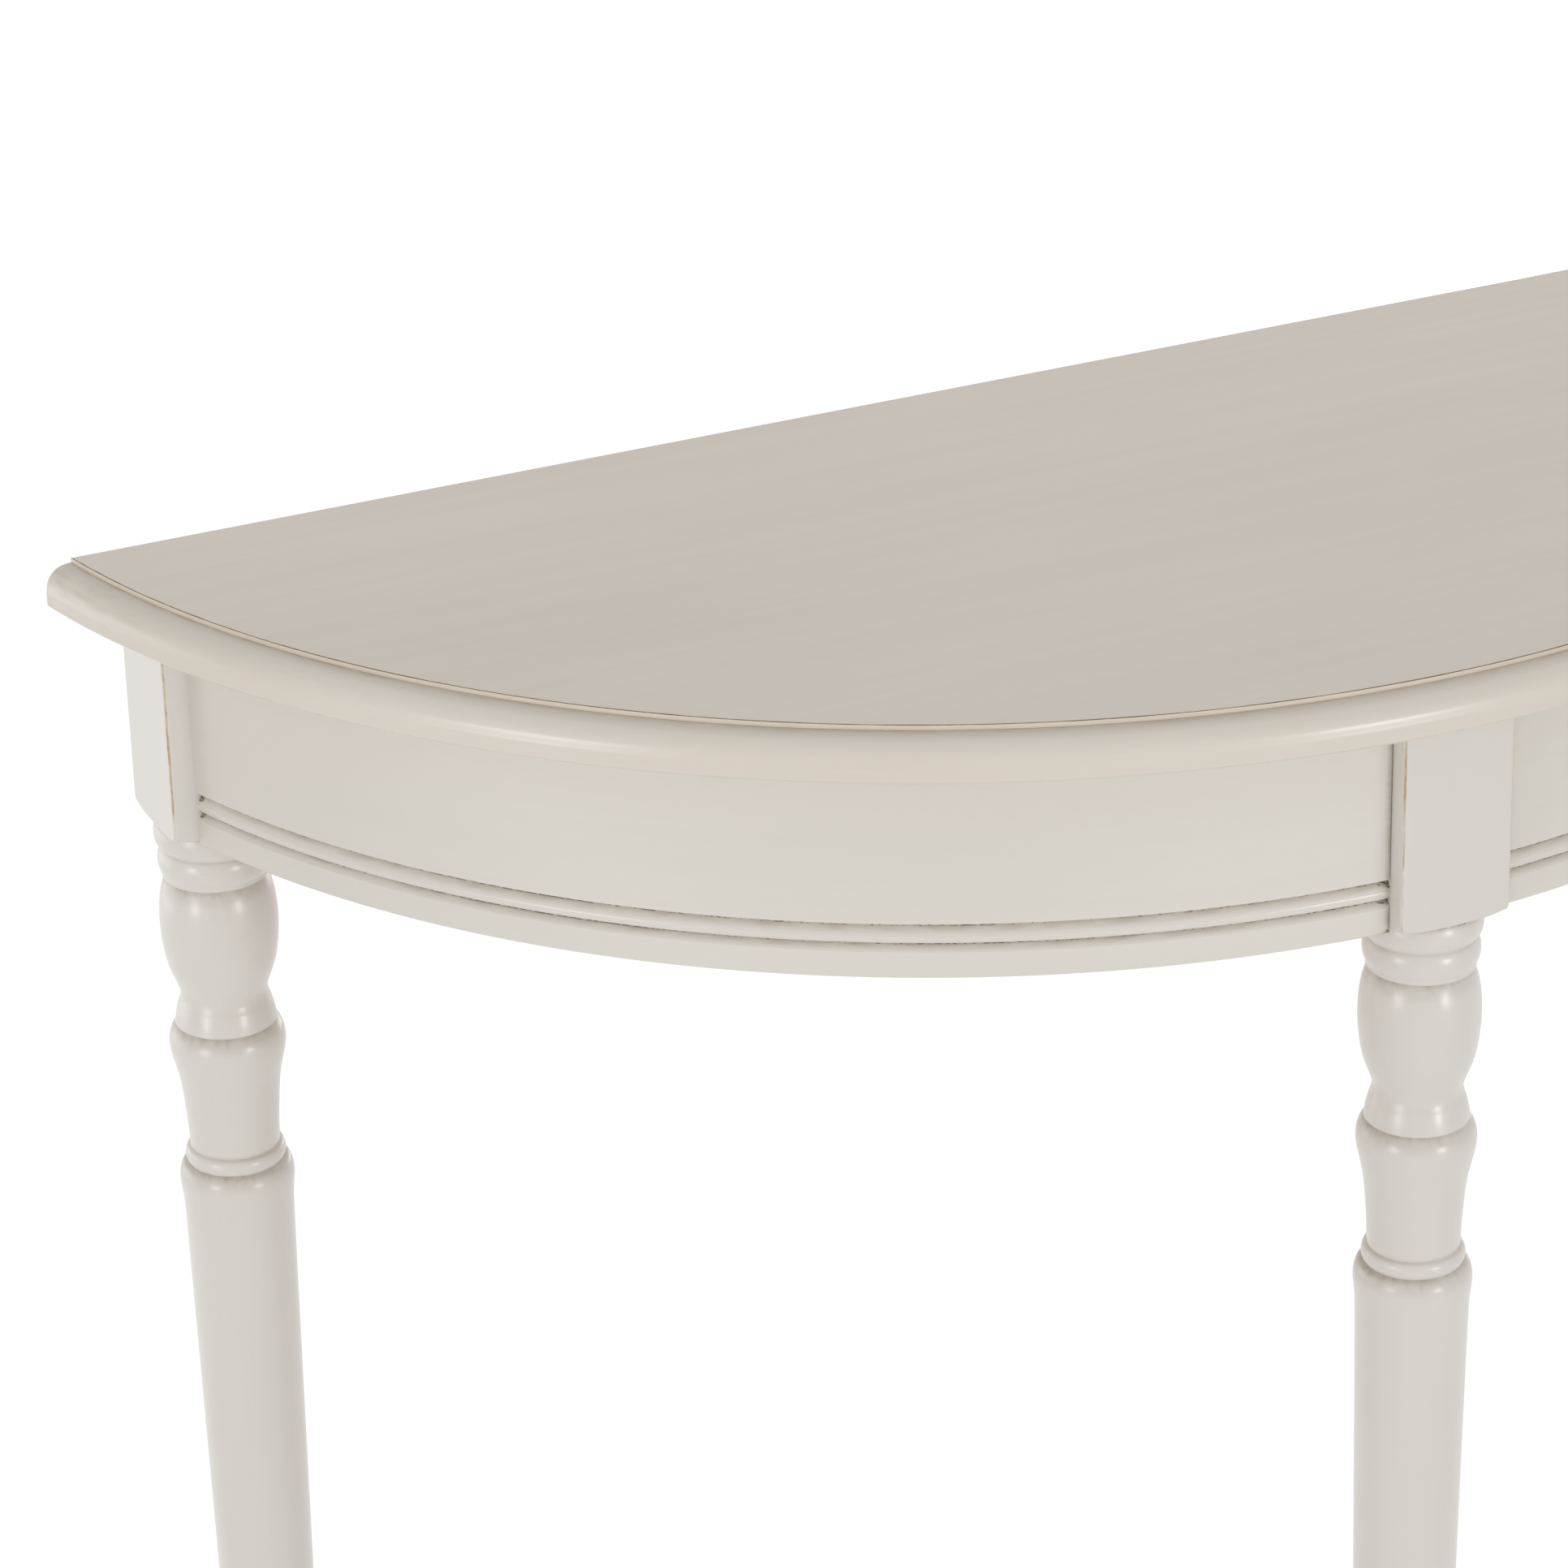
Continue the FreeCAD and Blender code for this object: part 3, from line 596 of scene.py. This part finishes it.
# %% Section of the aprons
apron_low, apron_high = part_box("apron_left")
apron_setback = 0.0335
apron_thickness = 0.020
groove_rise = 0.0136
groove_height = 0.0044
groove_depth = 0.003
bead_height = 0.0056
bead_round = 0.0009
edge_ease = 0.0009
apron_radius = arc_radius - apron_setback
apron_inner = apron_radius - apron_thickness
groove_floor = apron_radius - groove_depth
bead_radius = apron_radius - bead_round
low_lip = apron_low.z + groove_rise
low_ceiling = low_lip + groove_height
high_lip = low_ceiling + bead_height
high_ceiling = high_lip + groove_height
bead_middle = (low_ceiling + high_lip) / 2

below_bead = [
    (apron_inner, apron_low.z),
    (apron_radius - edge_ease, apron_low.z),
    (apron_radius, apron_low.z + edge_ease),
    (apron_radius, low_lip),
    (groove_floor, low_ceiling),
    (bead_radius, low_ceiling),
]
bead_knots = [(bead_radius, low_ceiling), (apron_radius, bead_middle), (bead_radius, high_lip)]
above_bead = [
    (bead_radius, high_lip),
    (groove_floor, high_ceiling),
    (apron_radius, high_ceiling),
    (apron_radius, apron_high.z),
    (apron_inner, apron_high.z),
    (apron_inner, apron_low.z),
]
apron_stretches = straights(below_bead) + [bead_knots] + straights(above_bead)
print("grooves are", groove_depth, "m deep")

# %% [markdown]
# Wiping leaves the glaze in the grooves and in the seam beside the front block. At the foot of that
# seam and at the ends of the grooves a dark dot is painted shadow in the hollow. Towards the rear legs
# the apron gets a faint shade.
# One function gathers these and takes the strongest. A power of the depth in a groove that is well
# below 1 makes the glaze rise quickly from the lip, as a line with a soft lower side.

# %% Glaze and painted shadow of the aprons
leg_low, leg_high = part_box("leg_front")
half_block = leg_high.x
rear_low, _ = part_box("leg_rear_left")
glaze_radius = apron_radius - bead_round * 0.8
glazed_skin = apron_radius - groove_depth * 1.5
groove_glaze = 0.64
groove_power = 0.28
# reach of the painted shadow at a groove's end and at the seam's foot
end_pool_and_shadow = 0.003
seam_reach = 0.009
seam_glaze = 0.55
seam_dot = 1.5
end_shade = 0.27
end_shade_reach = 0.2


def apron_grain(place):
    radius, angle = arc_measures(place)
    return angle * apron_radius, place.z, radius


def apron_hollow(place):
    radius, _ = arc_measures(place)
    if radius < glazed_skin:
        return 0.0
    to_block = abs(place.x) - half_block
    to_rear = rear_low.y - place.y
    groove = 0.0
    if low_lip < place.z < high_ceiling + WELD:
        sunk = max(0.0, (glaze_radius - radius) / (glaze_radius - groove_floor))
        groove = sunk ** groove_power * (groove_glaze + falloff(min(to_block, to_rear), end_pool_and_shadow))
    foot_dot = seam_dot * falloff(place.z - apron_low.z, end_pool_and_shadow) * falloff(to_block, end_pool_and_shadow)
    seam = seam_glaze * falloff(to_block, seam_reach) + foot_dot
    shade = end_shade * falloff(to_rear, end_shade_reach)
    return max(groove, shade, seam)


print("glaze reaches", seam_reach, "m from the seam")

# %% [markdown]
# The apron is spun from the front, past the rear leg, and sawn off flat at the faces of both leg
# blocks, because its ends stand against them. The outer edge at the front block is rounded, which makes
# the seam that holds the glaze. The sign of the side decides where the saw cuts.

# %% Aprons
apron_steps = 150
seam_round = 0.0014
NEAR = WELD * 100


def make_apron(side, name, node):
    shape = template(apron_stretches, moulding_fineness)
    far = math.acos((arc_centre.y - rear_low.y) / arc_radius) + end_overlap
    carry_round(shape, arc_centre, side * far, -side * far, apron_steps)
    saw(shape, Vector((0, rear_low.y, 0)), Vector((0, 1, 0)))
    rim = saw(shape, Vector((side * half_block, 0, 0)), Vector((-side, 0, 0)))
    outer = [edge for edge in rim if edge.is_valid
             and all(arc_measures(v.co)[0] > apron_radius - NEAR for v in edge.verts)
             and max(v.co.z for v in edge.verts) - min(v.co.z for v in edge.verts) > edge_ease]
    bmesh.ops.bevel(shape, geom=outer, offset=seam_round, segments=3, profile=0.5, affect="EDGES",
                    material=-1)
    for face in shape.faces:
        if arc_measures(face.calc_center_median())[0] < apron_inner + NEAR:
            face.material_index = 1
    piece = finish_piece(name, shape, [apron_paint, bare_pine], "painted_wood", apron_grain, apron_hollow)
    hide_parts(node)


make_apron(-1, "curved_apron_left", "apron_left")
make_apron(1, "curved_apron_right", "apron_right")

# %% [markdown]
# The legs: square blocks above, and below them collar, ring, vase, cup, rim, swelling, hoop, shoulder,
# long tapered column, ankle ring and foot. Their heights add up from the block down, and those of the
# foot and the ankle ring from the leg's lower end up, so that the column takes up what is left.

# %% Heights of the turning
block_length = 0.113
block_foot = leg_high.z - block_length
leg_foot = leg_low.z
collar_height = 0.015
ring_height = 0.014
band_height = 0.0022
vase_height = 0.065
cup_height = 0.0065
rim_height = 0.0105
swell_height = 0.070
hoop_height = 0.0088
shoulder_height = 0.026
ankle_height = 0.011
foot_height = 0.058

ring_top = block_foot - collar_height
band_top = ring_top - ring_height
vase_top = band_top - band_height
neck_z = vase_top - vase_height
rim_top = neck_z - cup_height
swell_top = rim_top - rim_height
hoop_top = swell_top - swell_height
shoulder_top = hoop_top - hoop_height
foot_top = leg_foot + foot_height
ankle_top = foot_top + ankle_height
print("turned part is", round(block_foot - leg_foot, 4), "long")

# %% [markdown]
# Each stretch of the turning is a few knots: a share of its height and a radius. A turner measures such
# knots with callipers. Where the gouge leaves a sharp step, a level ledge joins two stretches.

# %% Leg template
collar_foot_radius = 0.0267
band_radius = 0.0266
neck_radius = 0.0221
rim_radius = 0.0236
rim_foot_radius = 0.0258
waist_radius = 0.0228
hoop_foot_radius = 0.0246
column_foot_radius = 0.023
column_end = (0.02303, ankle_top + 0.002)
ankle_foot_radius = 0.0195
collar_knots = ((0.0, 0.02803), (0.22, 0.02906), (0.5, 0.0295), (0.78, 0.02876), (1.0, collar_foot_radius))
ring_knots = ((0.0, collar_foot_radius), (0.22, 0.0279), (0.5, 0.0284), (0.78, 0.0279), (1.0, band_radius))
vase_knots = ((0.0, 0.0252), (0.06, 0.0268), (0.15, 0.0284), (0.26, 0.02936), (0.41, 0.0297),
              (0.53, 0.02932), (0.63, 0.0286), (0.72, 0.02757), (0.81, 0.0259), (0.89, 0.02392),
              (0.96, 0.02244), (1.0, neck_radius))
cup_knots = ((0.0, neck_radius), (0.2, 0.02219), (0.45, 0.02246), (0.72, 0.02297), (1.0, rim_radius))
rim_knots = ((0.0, rim_radius), (0.5, 0.0249), (1.0, rim_foot_radius))
swell_knots = ((0.0, 0.02518), (0.03, 0.02689), (0.08, 0.02854), (0.155, 0.0294), (0.23, 0.02894),
               (0.31, 0.02775), (0.43, 0.0259), (0.56, 0.02465), (0.69, 0.02389), (0.84, 0.0232),
               (1.0, waist_radius))
hoop_knots = ((0.0, waist_radius), (0.18, 0.0245), (0.5, 0.0254), (0.82, 0.0252), (1.0, hoop_foot_radius))
shoulder_knots = ((0.0, 0.02465), (0.05, 0.02673), (0.14, 0.0281), (0.26, 0.02894), (0.4, 0.0292),
                  (0.58, 0.02881), (0.78, 0.02829), (1.0, 0.0279))
ankle_knots = ((0.0, column_foot_radius), (0.2, 0.0253), (0.5, 0.0263), (0.8, 0.0243),
               (1.0, ankle_foot_radius))
foot_knots = ((0.0, 0.01935), (0.1, 0.02104), (0.24, 0.02282), (0.36, 0.0232), (0.52, 0.02212),
              (0.76, 0.01873), (1.0, 0.0155))


def stretch(top, height, knots):
    return [(radius, top - height * share) for share, radius in knots]


def step_in(radius, height, knots):
    """A level step from a radius to the first knot of the stretch below."""
    return [(radius, height), (knots[0][1], height)]


leg_stretches = [
    stretch(block_foot, collar_height, collar_knots),
    stretch(ring_top, ring_height, ring_knots),
    [(band_radius, band_top), (band_radius, vase_top)],
    step_in(band_radius, vase_top, vase_knots),
    stretch(vase_top, vase_height, vase_knots) + stretch(neck_z, cup_height, cup_knots)[1:],
    stretch(rim_top, rim_height, rim_knots),
    step_in(rim_foot_radius, swell_top, swell_knots),
    stretch(swell_top, swell_height, swell_knots),
    stretch(hoop_top, hoop_height, hoop_knots),
    step_in(hoop_foot_radius, shoulder_top, shoulder_knots),
    stretch(shoulder_top, shoulder_height, shoulder_knots) + [column_end, (column_foot_radius, ankle_top)],
    stretch(ankle_top, ankle_height, ankle_knots),
    step_in(ankle_foot_radius, foot_top, foot_knots),
    stretch(foot_top, foot_height, foot_knots),
]
print("leg template has", len(leg_stretches), "stretches")

# %% [markdown]
# A leg is one piece of wood, so it becomes one closed skin. A square loop with as many points as the
# spun part's top ring is bridged to that ring and extruded up into the block. The lathe's cut leaves a
# shoulder under the block: it rises towards the corners, which are further from the axis. The block's
# upright edges and the edge of its foot are eased last.

# %% Leg block
leg_steps = 96
block_edge = 0.0016
block_border = 0.004
block_levels = 14
shoulder_rise = 0.0032
shoulder_inset = 0.00075


def raise_block(shape, axis):
    """Bridges the top ring of a spun leg to a square and extrudes the square into the block."""
    square = Matrix.Translation(axis + UPWARD * block_foot) @ Matrix.Rotation(math.pi / 4, 4, "Z")
    bmesh.ops.create_circle(shape, segments=4, radius=half_block * math.sqrt(2), matrix=square)
    sides = [edge for edge in shape.edges if edge.is_wire]
    bmesh.ops.subdivide_edges(shape, edges=sides, cuts=leg_steps // 4 - 1)
    loop = [edge for edge in shape.edges if edge.is_wire]
    top_ring = [edge for edge in shape.edges if edge.is_boundary]
    bmesh.ops.bridge_loops(shape, edges=top_ring + loop)
    level_height = (block_length - block_border) / block_levels
    for rise in [block_border] + [level_height] * block_levels:
        lifted = bmesh.ops.extrude_edge_only(shape, edges=loop)["geom"]
        points = [item for item in lifted if isinstance(item, bmesh.types.BMVert)]
        bmesh.ops.translate(shape, verts=points, vec=UPWARD * rise)
        moved = set(points)
        lines_up = [item for item in lifted if isinstance(item, bmesh.types.BMEdge)]
        loop = [edge for edge in lines_up if moved.issuperset(edge.verts)]
    bmesh.ops.contextual_create(shape, geom=loop)


def ease_block(shape, axis):
    """Gives the block's foot the shoulder of the lathe's cut and rounds its edges."""
    def outside(place):
        return abs(place.x - axis.x) > half_block - WELD, abs(place.y - axis.y) > half_block - WELD

    arrises = []
    for edge in shape.edges:
        ends = [vert.co for vert in edge.verts]
        on_foot = all(abs(place.z - block_foot) < WELD and any(outside(place)) for place in ends)
        upright = all(all(outside(place)) for place in ends)
        if on_foot or upright:
            arrises.append(edge)
    cut_start = half_block - shoulder_inset
    cut_width = half_block * math.sqrt(2) + shoulder_inset - cut_start
    for vert in shape.verts:
        if abs(vert.co.z - block_foot) < WELD:
            out = math.hypot(vert.co.x - axis.x, vert.co.y - axis.y) - cut_start
            vert.co.z += shoulder_rise * (max(0.0, out) / cut_width) ** 2
    bmesh.ops.bevel(shape, geom=arrises, offset=block_edge, segments=3, profile=0.5, affect="EDGES",
                    material=-1)


print("block is", block_length, "long and", round(half_block * 2, 4), "wide")

# %% [markdown]
# Glaze stays in every quirk of the turning. Below the deep ones a smear of glaze and painted shade
# darkens the turning under the overhang, more on the left side of each leg. A dark line right under
# the block's foot is painted shadow. The block's upright edges are rubbed, a line that is partly wear
# and partly painted shade, and on each leg one stretch of a front edge more than the rest. The grain
# runs upright, and a seed moves it aside so that no two legs match.

# %% Glaze, wear and painted shade of the legs
quirk_lines = (ring_top, vase_top, swell_top, hoop_top, shoulder_top, ankle_top, foot_top)
smear_lines = (vase_top, swell_top, shoulder_top, foot_top)
# painted shadow line right under the block's foot
collar_painted_shadow = 0.8
collar_below = 0.0032
quirk_above = 0.0008
quirk_below = 0.0016
quirk_glaze = 0.4
smear_below = 0.010
# smear of glaze with painted shade under the overhang of a deep quirk
smear_glaze_and_shade = 0.47
smear_most = 0.54
# more glaze and painted shade on the left side of each leg
left_glaze_and_shade = 0.5
# the blocks' upright edges: rubbed wear, partly painted shade
block_wear_and_shade = 0.7
wear_reach = block_edge * 1.1


def leg_masks(axis, seed, worn):
    """Grain, hollow and arris of a leg. Worn gives side, lower and upper end and depth of a rubbed edge."""
    side, start, end, much = worn

    def grain(place):
        return place.z, place.x - axis.x + seed, place.y - axis.y

    def hollow(place):
        if place.z > block_foot - WELD:
            return 0.0
        found = collar_painted_shadow * falloff(block_foot - place.z, collar_below)
        for line in quirk_lines:
            below = line - place.z
            found = max(found, quirk_glaze * falloff(below, quirk_below if below > 0 else quirk_above))
        smear_and_shade = min(smear_most, smear_glaze_and_shade * (1 + left_glaze_and_shade * (axis.x - place.x) / half_block))
        for line in smear_lines:
            if place.z < line:
                found = max(found, smear_and_shade * falloff(line - place.z, smear_below))
        return found

    def arris(place):
        if place.z < block_foot - WELD:
            return 0.0
        aside = half_block - abs(place.x - axis.x)
        ahead = half_block - abs(place.y - axis.y)
        found = block_wear_and_shade * falloff(max(aside, ahead), block_edge)
        if (place.x - axis.x) * side > 0 and place.y < axis.y and start < place.z < end:
            found = max(found, much * falloff(max(aside, ahead), wear_reach))
        return found

    return grain, hollow, arris


print("glaze lines on a leg:", len(quirk_lines))

# %% [markdown]
# The three legs are turned from the same template. Each stands over its glide, so the middle of the
# glide's box gives its axis. Only the seed of the grain and the rubbed edge differ.

# %% Legs
turning_fineness = 6


def make_leg(name, node, glide, seed, worn):
    glide_corner, glide_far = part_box(glide)
    axis = Vector(((glide_corner.x + glide_far.x) / 2, (glide_corner.y + glide_far.y) / 2, 0))
    shape = template(leg_stretches, turning_fineness)
    carry_round(shape, axis, 0, math.tau, leg_steps)
    foot_ring = [edge for edge in shape.edges if edge.is_boundary and edge.verts[0].co.z < foot_top]
    bmesh.ops.contextual_create(shape, geom=foot_ring)
    raise_block(shape, axis)
    ease_block(shape, axis)
    piece = finish_piece(name, shape, [leg_paint], "painted_wood", *leg_masks(axis, seed, worn))
    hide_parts(node)


make_leg("turned_leg_front", "leg_front", "glide_front", seed=3.1, worn=(-1, 0.720, 0.765, 0.9))
make_leg("turned_leg_rear_left", "leg_rear_left", "glide_rear_left", seed=5.7,
         worn=(-1, 0.668, 0.764, 1.0))
make_leg("turned_leg_rear_right", "leg_rear_right", "glide_rear_right", seed=8.3,
         worn=(1, 0.690, 0.740, 0.62))

# %% [markdown]
# The back rail is a straight board that faces the wall, so its long edges are eased and it has no
# moulding. Its coat is that of the aprons, with the brush marks running along it. Flat shading suits a
# board, and on edges this small three segments of a bevel look round.

# %% Back rail
rail_low, rail_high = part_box("back_rail")
rail_ease = 0.0015


def rail_grain(place):
    return place.x, place.z, place.y


def make_back_rail():
    shape = bmesh.new()
    size = rail_high - rail_low
    place = Matrix.Translation((rail_low + rail_high) / 2) @ Matrix.Diagonal((*size, 1.0))
    bmesh.ops.create_cube(shape, size=1.0, matrix=place)
    long_edges = [edge for edge in shape.edges if abs(edge.verts[0].co.x - edge.verts[1].co.x) > size.x / 2]
    bmesh.ops.bevel(shape, geom=long_edges, offset=rail_ease, segments=3, profile=0.5, affect="EDGES",
                    material=-1)
    piece = finish_piece("painted_back_rail", shape, [apron_paint], "painted_wood", rail_grain, smooth=False)
    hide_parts("back_rail")


make_back_rail()

# %% [markdown]
# Screws and glides are small and stay as solids. Zinc plated steel is a metal with a slightly uneven
# sheen. Moulded nylon is dark and matt, with the fine texture of its mould.

# %% Hardware finishes
zinc_bright = swatch(198, 198, 192)
zinc_dull = swatch(166, 164, 156)
nylon_brown = swatch(92, 80, 68)
nylon_dark = swatch(76, 66, 56)
zinc_spots = 900.0
nylon_pits = 2200.0
pit_strength = 0.15
pit_depth = 0.0002


def make_zinc():
    material, tree, surface = begin_material("zinc_plate")
    spots = noise(tree, put(tree, "TexCoord").outputs["Object"], zinc_spots, detail=3.0, roughness=0.6)
    colour = blend_colour(tree, spots, zinc_dull, zinc_bright)
    dull = remap(tree, spots, 0.3, 0.7, 0.28, 0.42)
    connect(tree, surface, {"Base Color": colour, "Roughness": dull, "Metallic": 1.0})
    return material


def make_nylon():
    material, tree, surface = begin_material("moulded_nylon")
    pits = noise(tree, put(tree, "TexCoord").outputs["Object"], nylon_pits)
    colour = blend_colour(tree, pits, nylon_dark, nylon_brown)
    dull = remap(tree, pits, 0.3, 0.7, 0.45, 0.6)
    bump = put(tree, "Bump", {"Strength": pit_strength, "Distance": pit_depth, "Height": pits})
    connect(tree, surface, {"Base Color": colour, "Roughness": dull, "Normal": bump.outputs["Normal"]})
    return material


zinc_plate = make_zinc()
moulded_nylon = make_nylon()
print("made", zinc_plate.name, "and", moulded_nylon.name)

# %% [markdown]
# The solids that stay each get the material of what they are made of: rail and blocks in pine by the
# way their grain runs, dowels in beech, screws in zinc plated steel and glides in nylon.

# %% Finishes of the solids that stay
finishes = {
    "cross_rail": pine_along_y,
    "corner_block": pine_upright,
    "glue_block": pine_along_x,
    "dowels": beech,
    "screws": zinc_plate,
    "glide": moulded_nylon,
}
for node_name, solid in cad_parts.items():
    for part_of_name, finish in finishes.items():
        if part_of_name in node_name:
            solid.data.materials.clear()
            solid.data.materials.append(finish)
print("finished the solids that stay")

# %% [markdown]
# The studio has a white floor that runs on into white all round. To the camera, and in reflections,
# most of the floor's brightness is its own glow, so the table needs no extra light to stand on white.
# The rest is a matt share that takes a soft shadow under the feet. To all other rays the floor is a
# plain light one that sends light back up to the legs and aprons. The light path node tells the two
# kinds of ray apart.

# %% Floor
floor_half = 14.0
floor_grey = 0.9
floor_glow = 0.72
floor_left = 0.45


def grey(level):
    return level, level, level, 1.0


def seen_directly(tree):
    """1 for rays that show a surface itself, to the camera, in a gloss or through glass, and else 0."""
    path = put(tree, "LightPath")
    seen = sums(tree, "ADD", path.outputs["Is Camera Ray"], path.outputs["Is Glossy Ray"], clamp=True)
    return sums(tree, "ADD", seen, path.outputs["Is Transmission Ray"], clamp=True)


def make_floor():
    material = bpy.data.materials.new("studio_floor")
    material.use_nodes = True
    tree = material.node_tree
    tree.nodes.clear()
    seen = seen_directly(tree)
    colour = blend_colour(tree, seen, grey(floor_grey), grey(floor_left))
    matt = put(tree, "BsdfDiffuse", {"Color": colour})
    glow = put(tree, "Emission", {"Strength": sums(tree, "MULTIPLY", seen, floor_glow)})
    both = put(tree, "AddShader", {0: matt.outputs[0], 1: glow.outputs[0]})
    put(tree, "OutputMaterial", {"Surface": both.outputs[0]})
    shape = bmesh.new()
    bmesh.ops.create_grid(shape, x_segments=1, y_segments=1, size=floor_half)
    mesh = bpy.data.meshes.new("studio_floor")
    shape.to_mesh(mesh)
    shape.free()
    mesh.materials.append(material)
    floor = bpy.data.objects.new("studio_floor", mesh)
    bpy.context.scene.collection.objects.link(floor)
    print("floor is", floor_half * 2, "m wide")


make_floor()

# %% [markdown]
# White walls far away light a table evenly and weakly from everywhere. A world with one level does the
# same. The camera and the gloss on the paint see it as full white, while its light on the table is held
# back, so that the soft boxes can still shape the turnings.

# %% World
world_level = 0.66
world = bpy.data.worlds.new("studio")
world.use_nodes = True
bpy.context.scene.world = world
sky = world.node_tree
sky_level = put(sky, "Mix", {0: seen_directly(sky), 2: world_level, 3: 1.0}, data_type="FLOAT")
connect(sky, sky.nodes["Background"], {"Color": grey(1.0), "Strength": sky_level.outputs[0]})
print("world lights at", world_level)

# %% [markdown]
# The camera stands where the photograph was taken from: to the left of the table's middle, above the
# top and looking down on it, with a long lens. Turn counts from straight ahead to the right, tilt down,
# and lean clockwise.

# %% Camera
camera_place = Vector((-1.2748, -2.2126, 1.8227))
camera_turn = math.radians(24.800)
camera_tilt = math.radians(24.730)
camera_lean = math.radians(1.470)
camera_lens = 128.57
sensor_width = 36.0

lens = bpy.data.cameras.new("camera")
lens.sensor_fit = "HORIZONTAL"
lens.sensor_width = sensor_width
lens.lens = camera_lens
camera = bpy.data.objects.new("camera", lens)
bpy.context.scene.collection.objects.link(camera)
turned = Matrix.Rotation(-camera_turn, 4, "Z")
tilted = Matrix.Rotation(math.pi / 2 - camera_tilt, 4, "X")
leant = Matrix.Rotation(-camera_lean, 4, "Z")
camera.matrix_world = Matrix.Translation(camera_place) @ turned @ tilted @ leant
bpy.context.scene.camera = camera
print("camera at", tuple(round(value, 3) for value in camera_place))

# %% [markdown]
# Two soft boxes stand in front, one on either side of the camera and only about as high as the apron.
# So the upright faces get more light than the top, and the swellings of the legs show two highlights.
# Two weaker boxes stand behind and lower. They stand in for the light that a white studio sends back.
# An area lamp is a soft box: its size sets how soft the light is.

# %% Soft boxes
aim_below_top = 0.1
light_aim = Vector((0, 0, top_high.z - aim_below_top))


def soft_box(name, turn, rise, distance, width, tall, power):
    """An area lamp that looks at the table. Turn counts in degrees from the front to the left, rise up."""
    lamp = bpy.data.lights.new(name, "AREA")
    lamp.shape = "RECTANGLE"
    lamp.size = width
    lamp.size_y = tall
    lamp.energy = power
    way = math.radians(turn)
    level = distance * math.cos(math.radians(rise))
    height = distance * math.sin(math.radians(rise))
    offset = Vector((-level * math.sin(way), -level * math.cos(way), height))
    holder = bpy.data.objects.new(name, lamp)
    holder.location = light_aim + offset
    holder.rotation_euler = (-offset).to_track_quat("-Z", "Y").to_euler()
    bpy.context.scene.collection.objects.link(holder)


soft_box("soft_box_left", turn=70, rise=-1, distance=4.0, width=1.05, tall=1.05, power=24.0)
soft_box("soft_box_right", turn=-16, rise=-1, distance=4.0, width=0.77, tall=0.77, power=29.0)
soft_box("soft_box_back_left", turn=132, rise=-8, distance=2.6, width=2.0, tall=1.2, power=9.0)
soft_box("soft_box_back_right", turn=-132, rise=-8, distance=2.6, width=1.2, tall=0.9, power=8.0)
bpy.context.scene.view_settings.view_transform = "Standard"
print("four soft boxes")
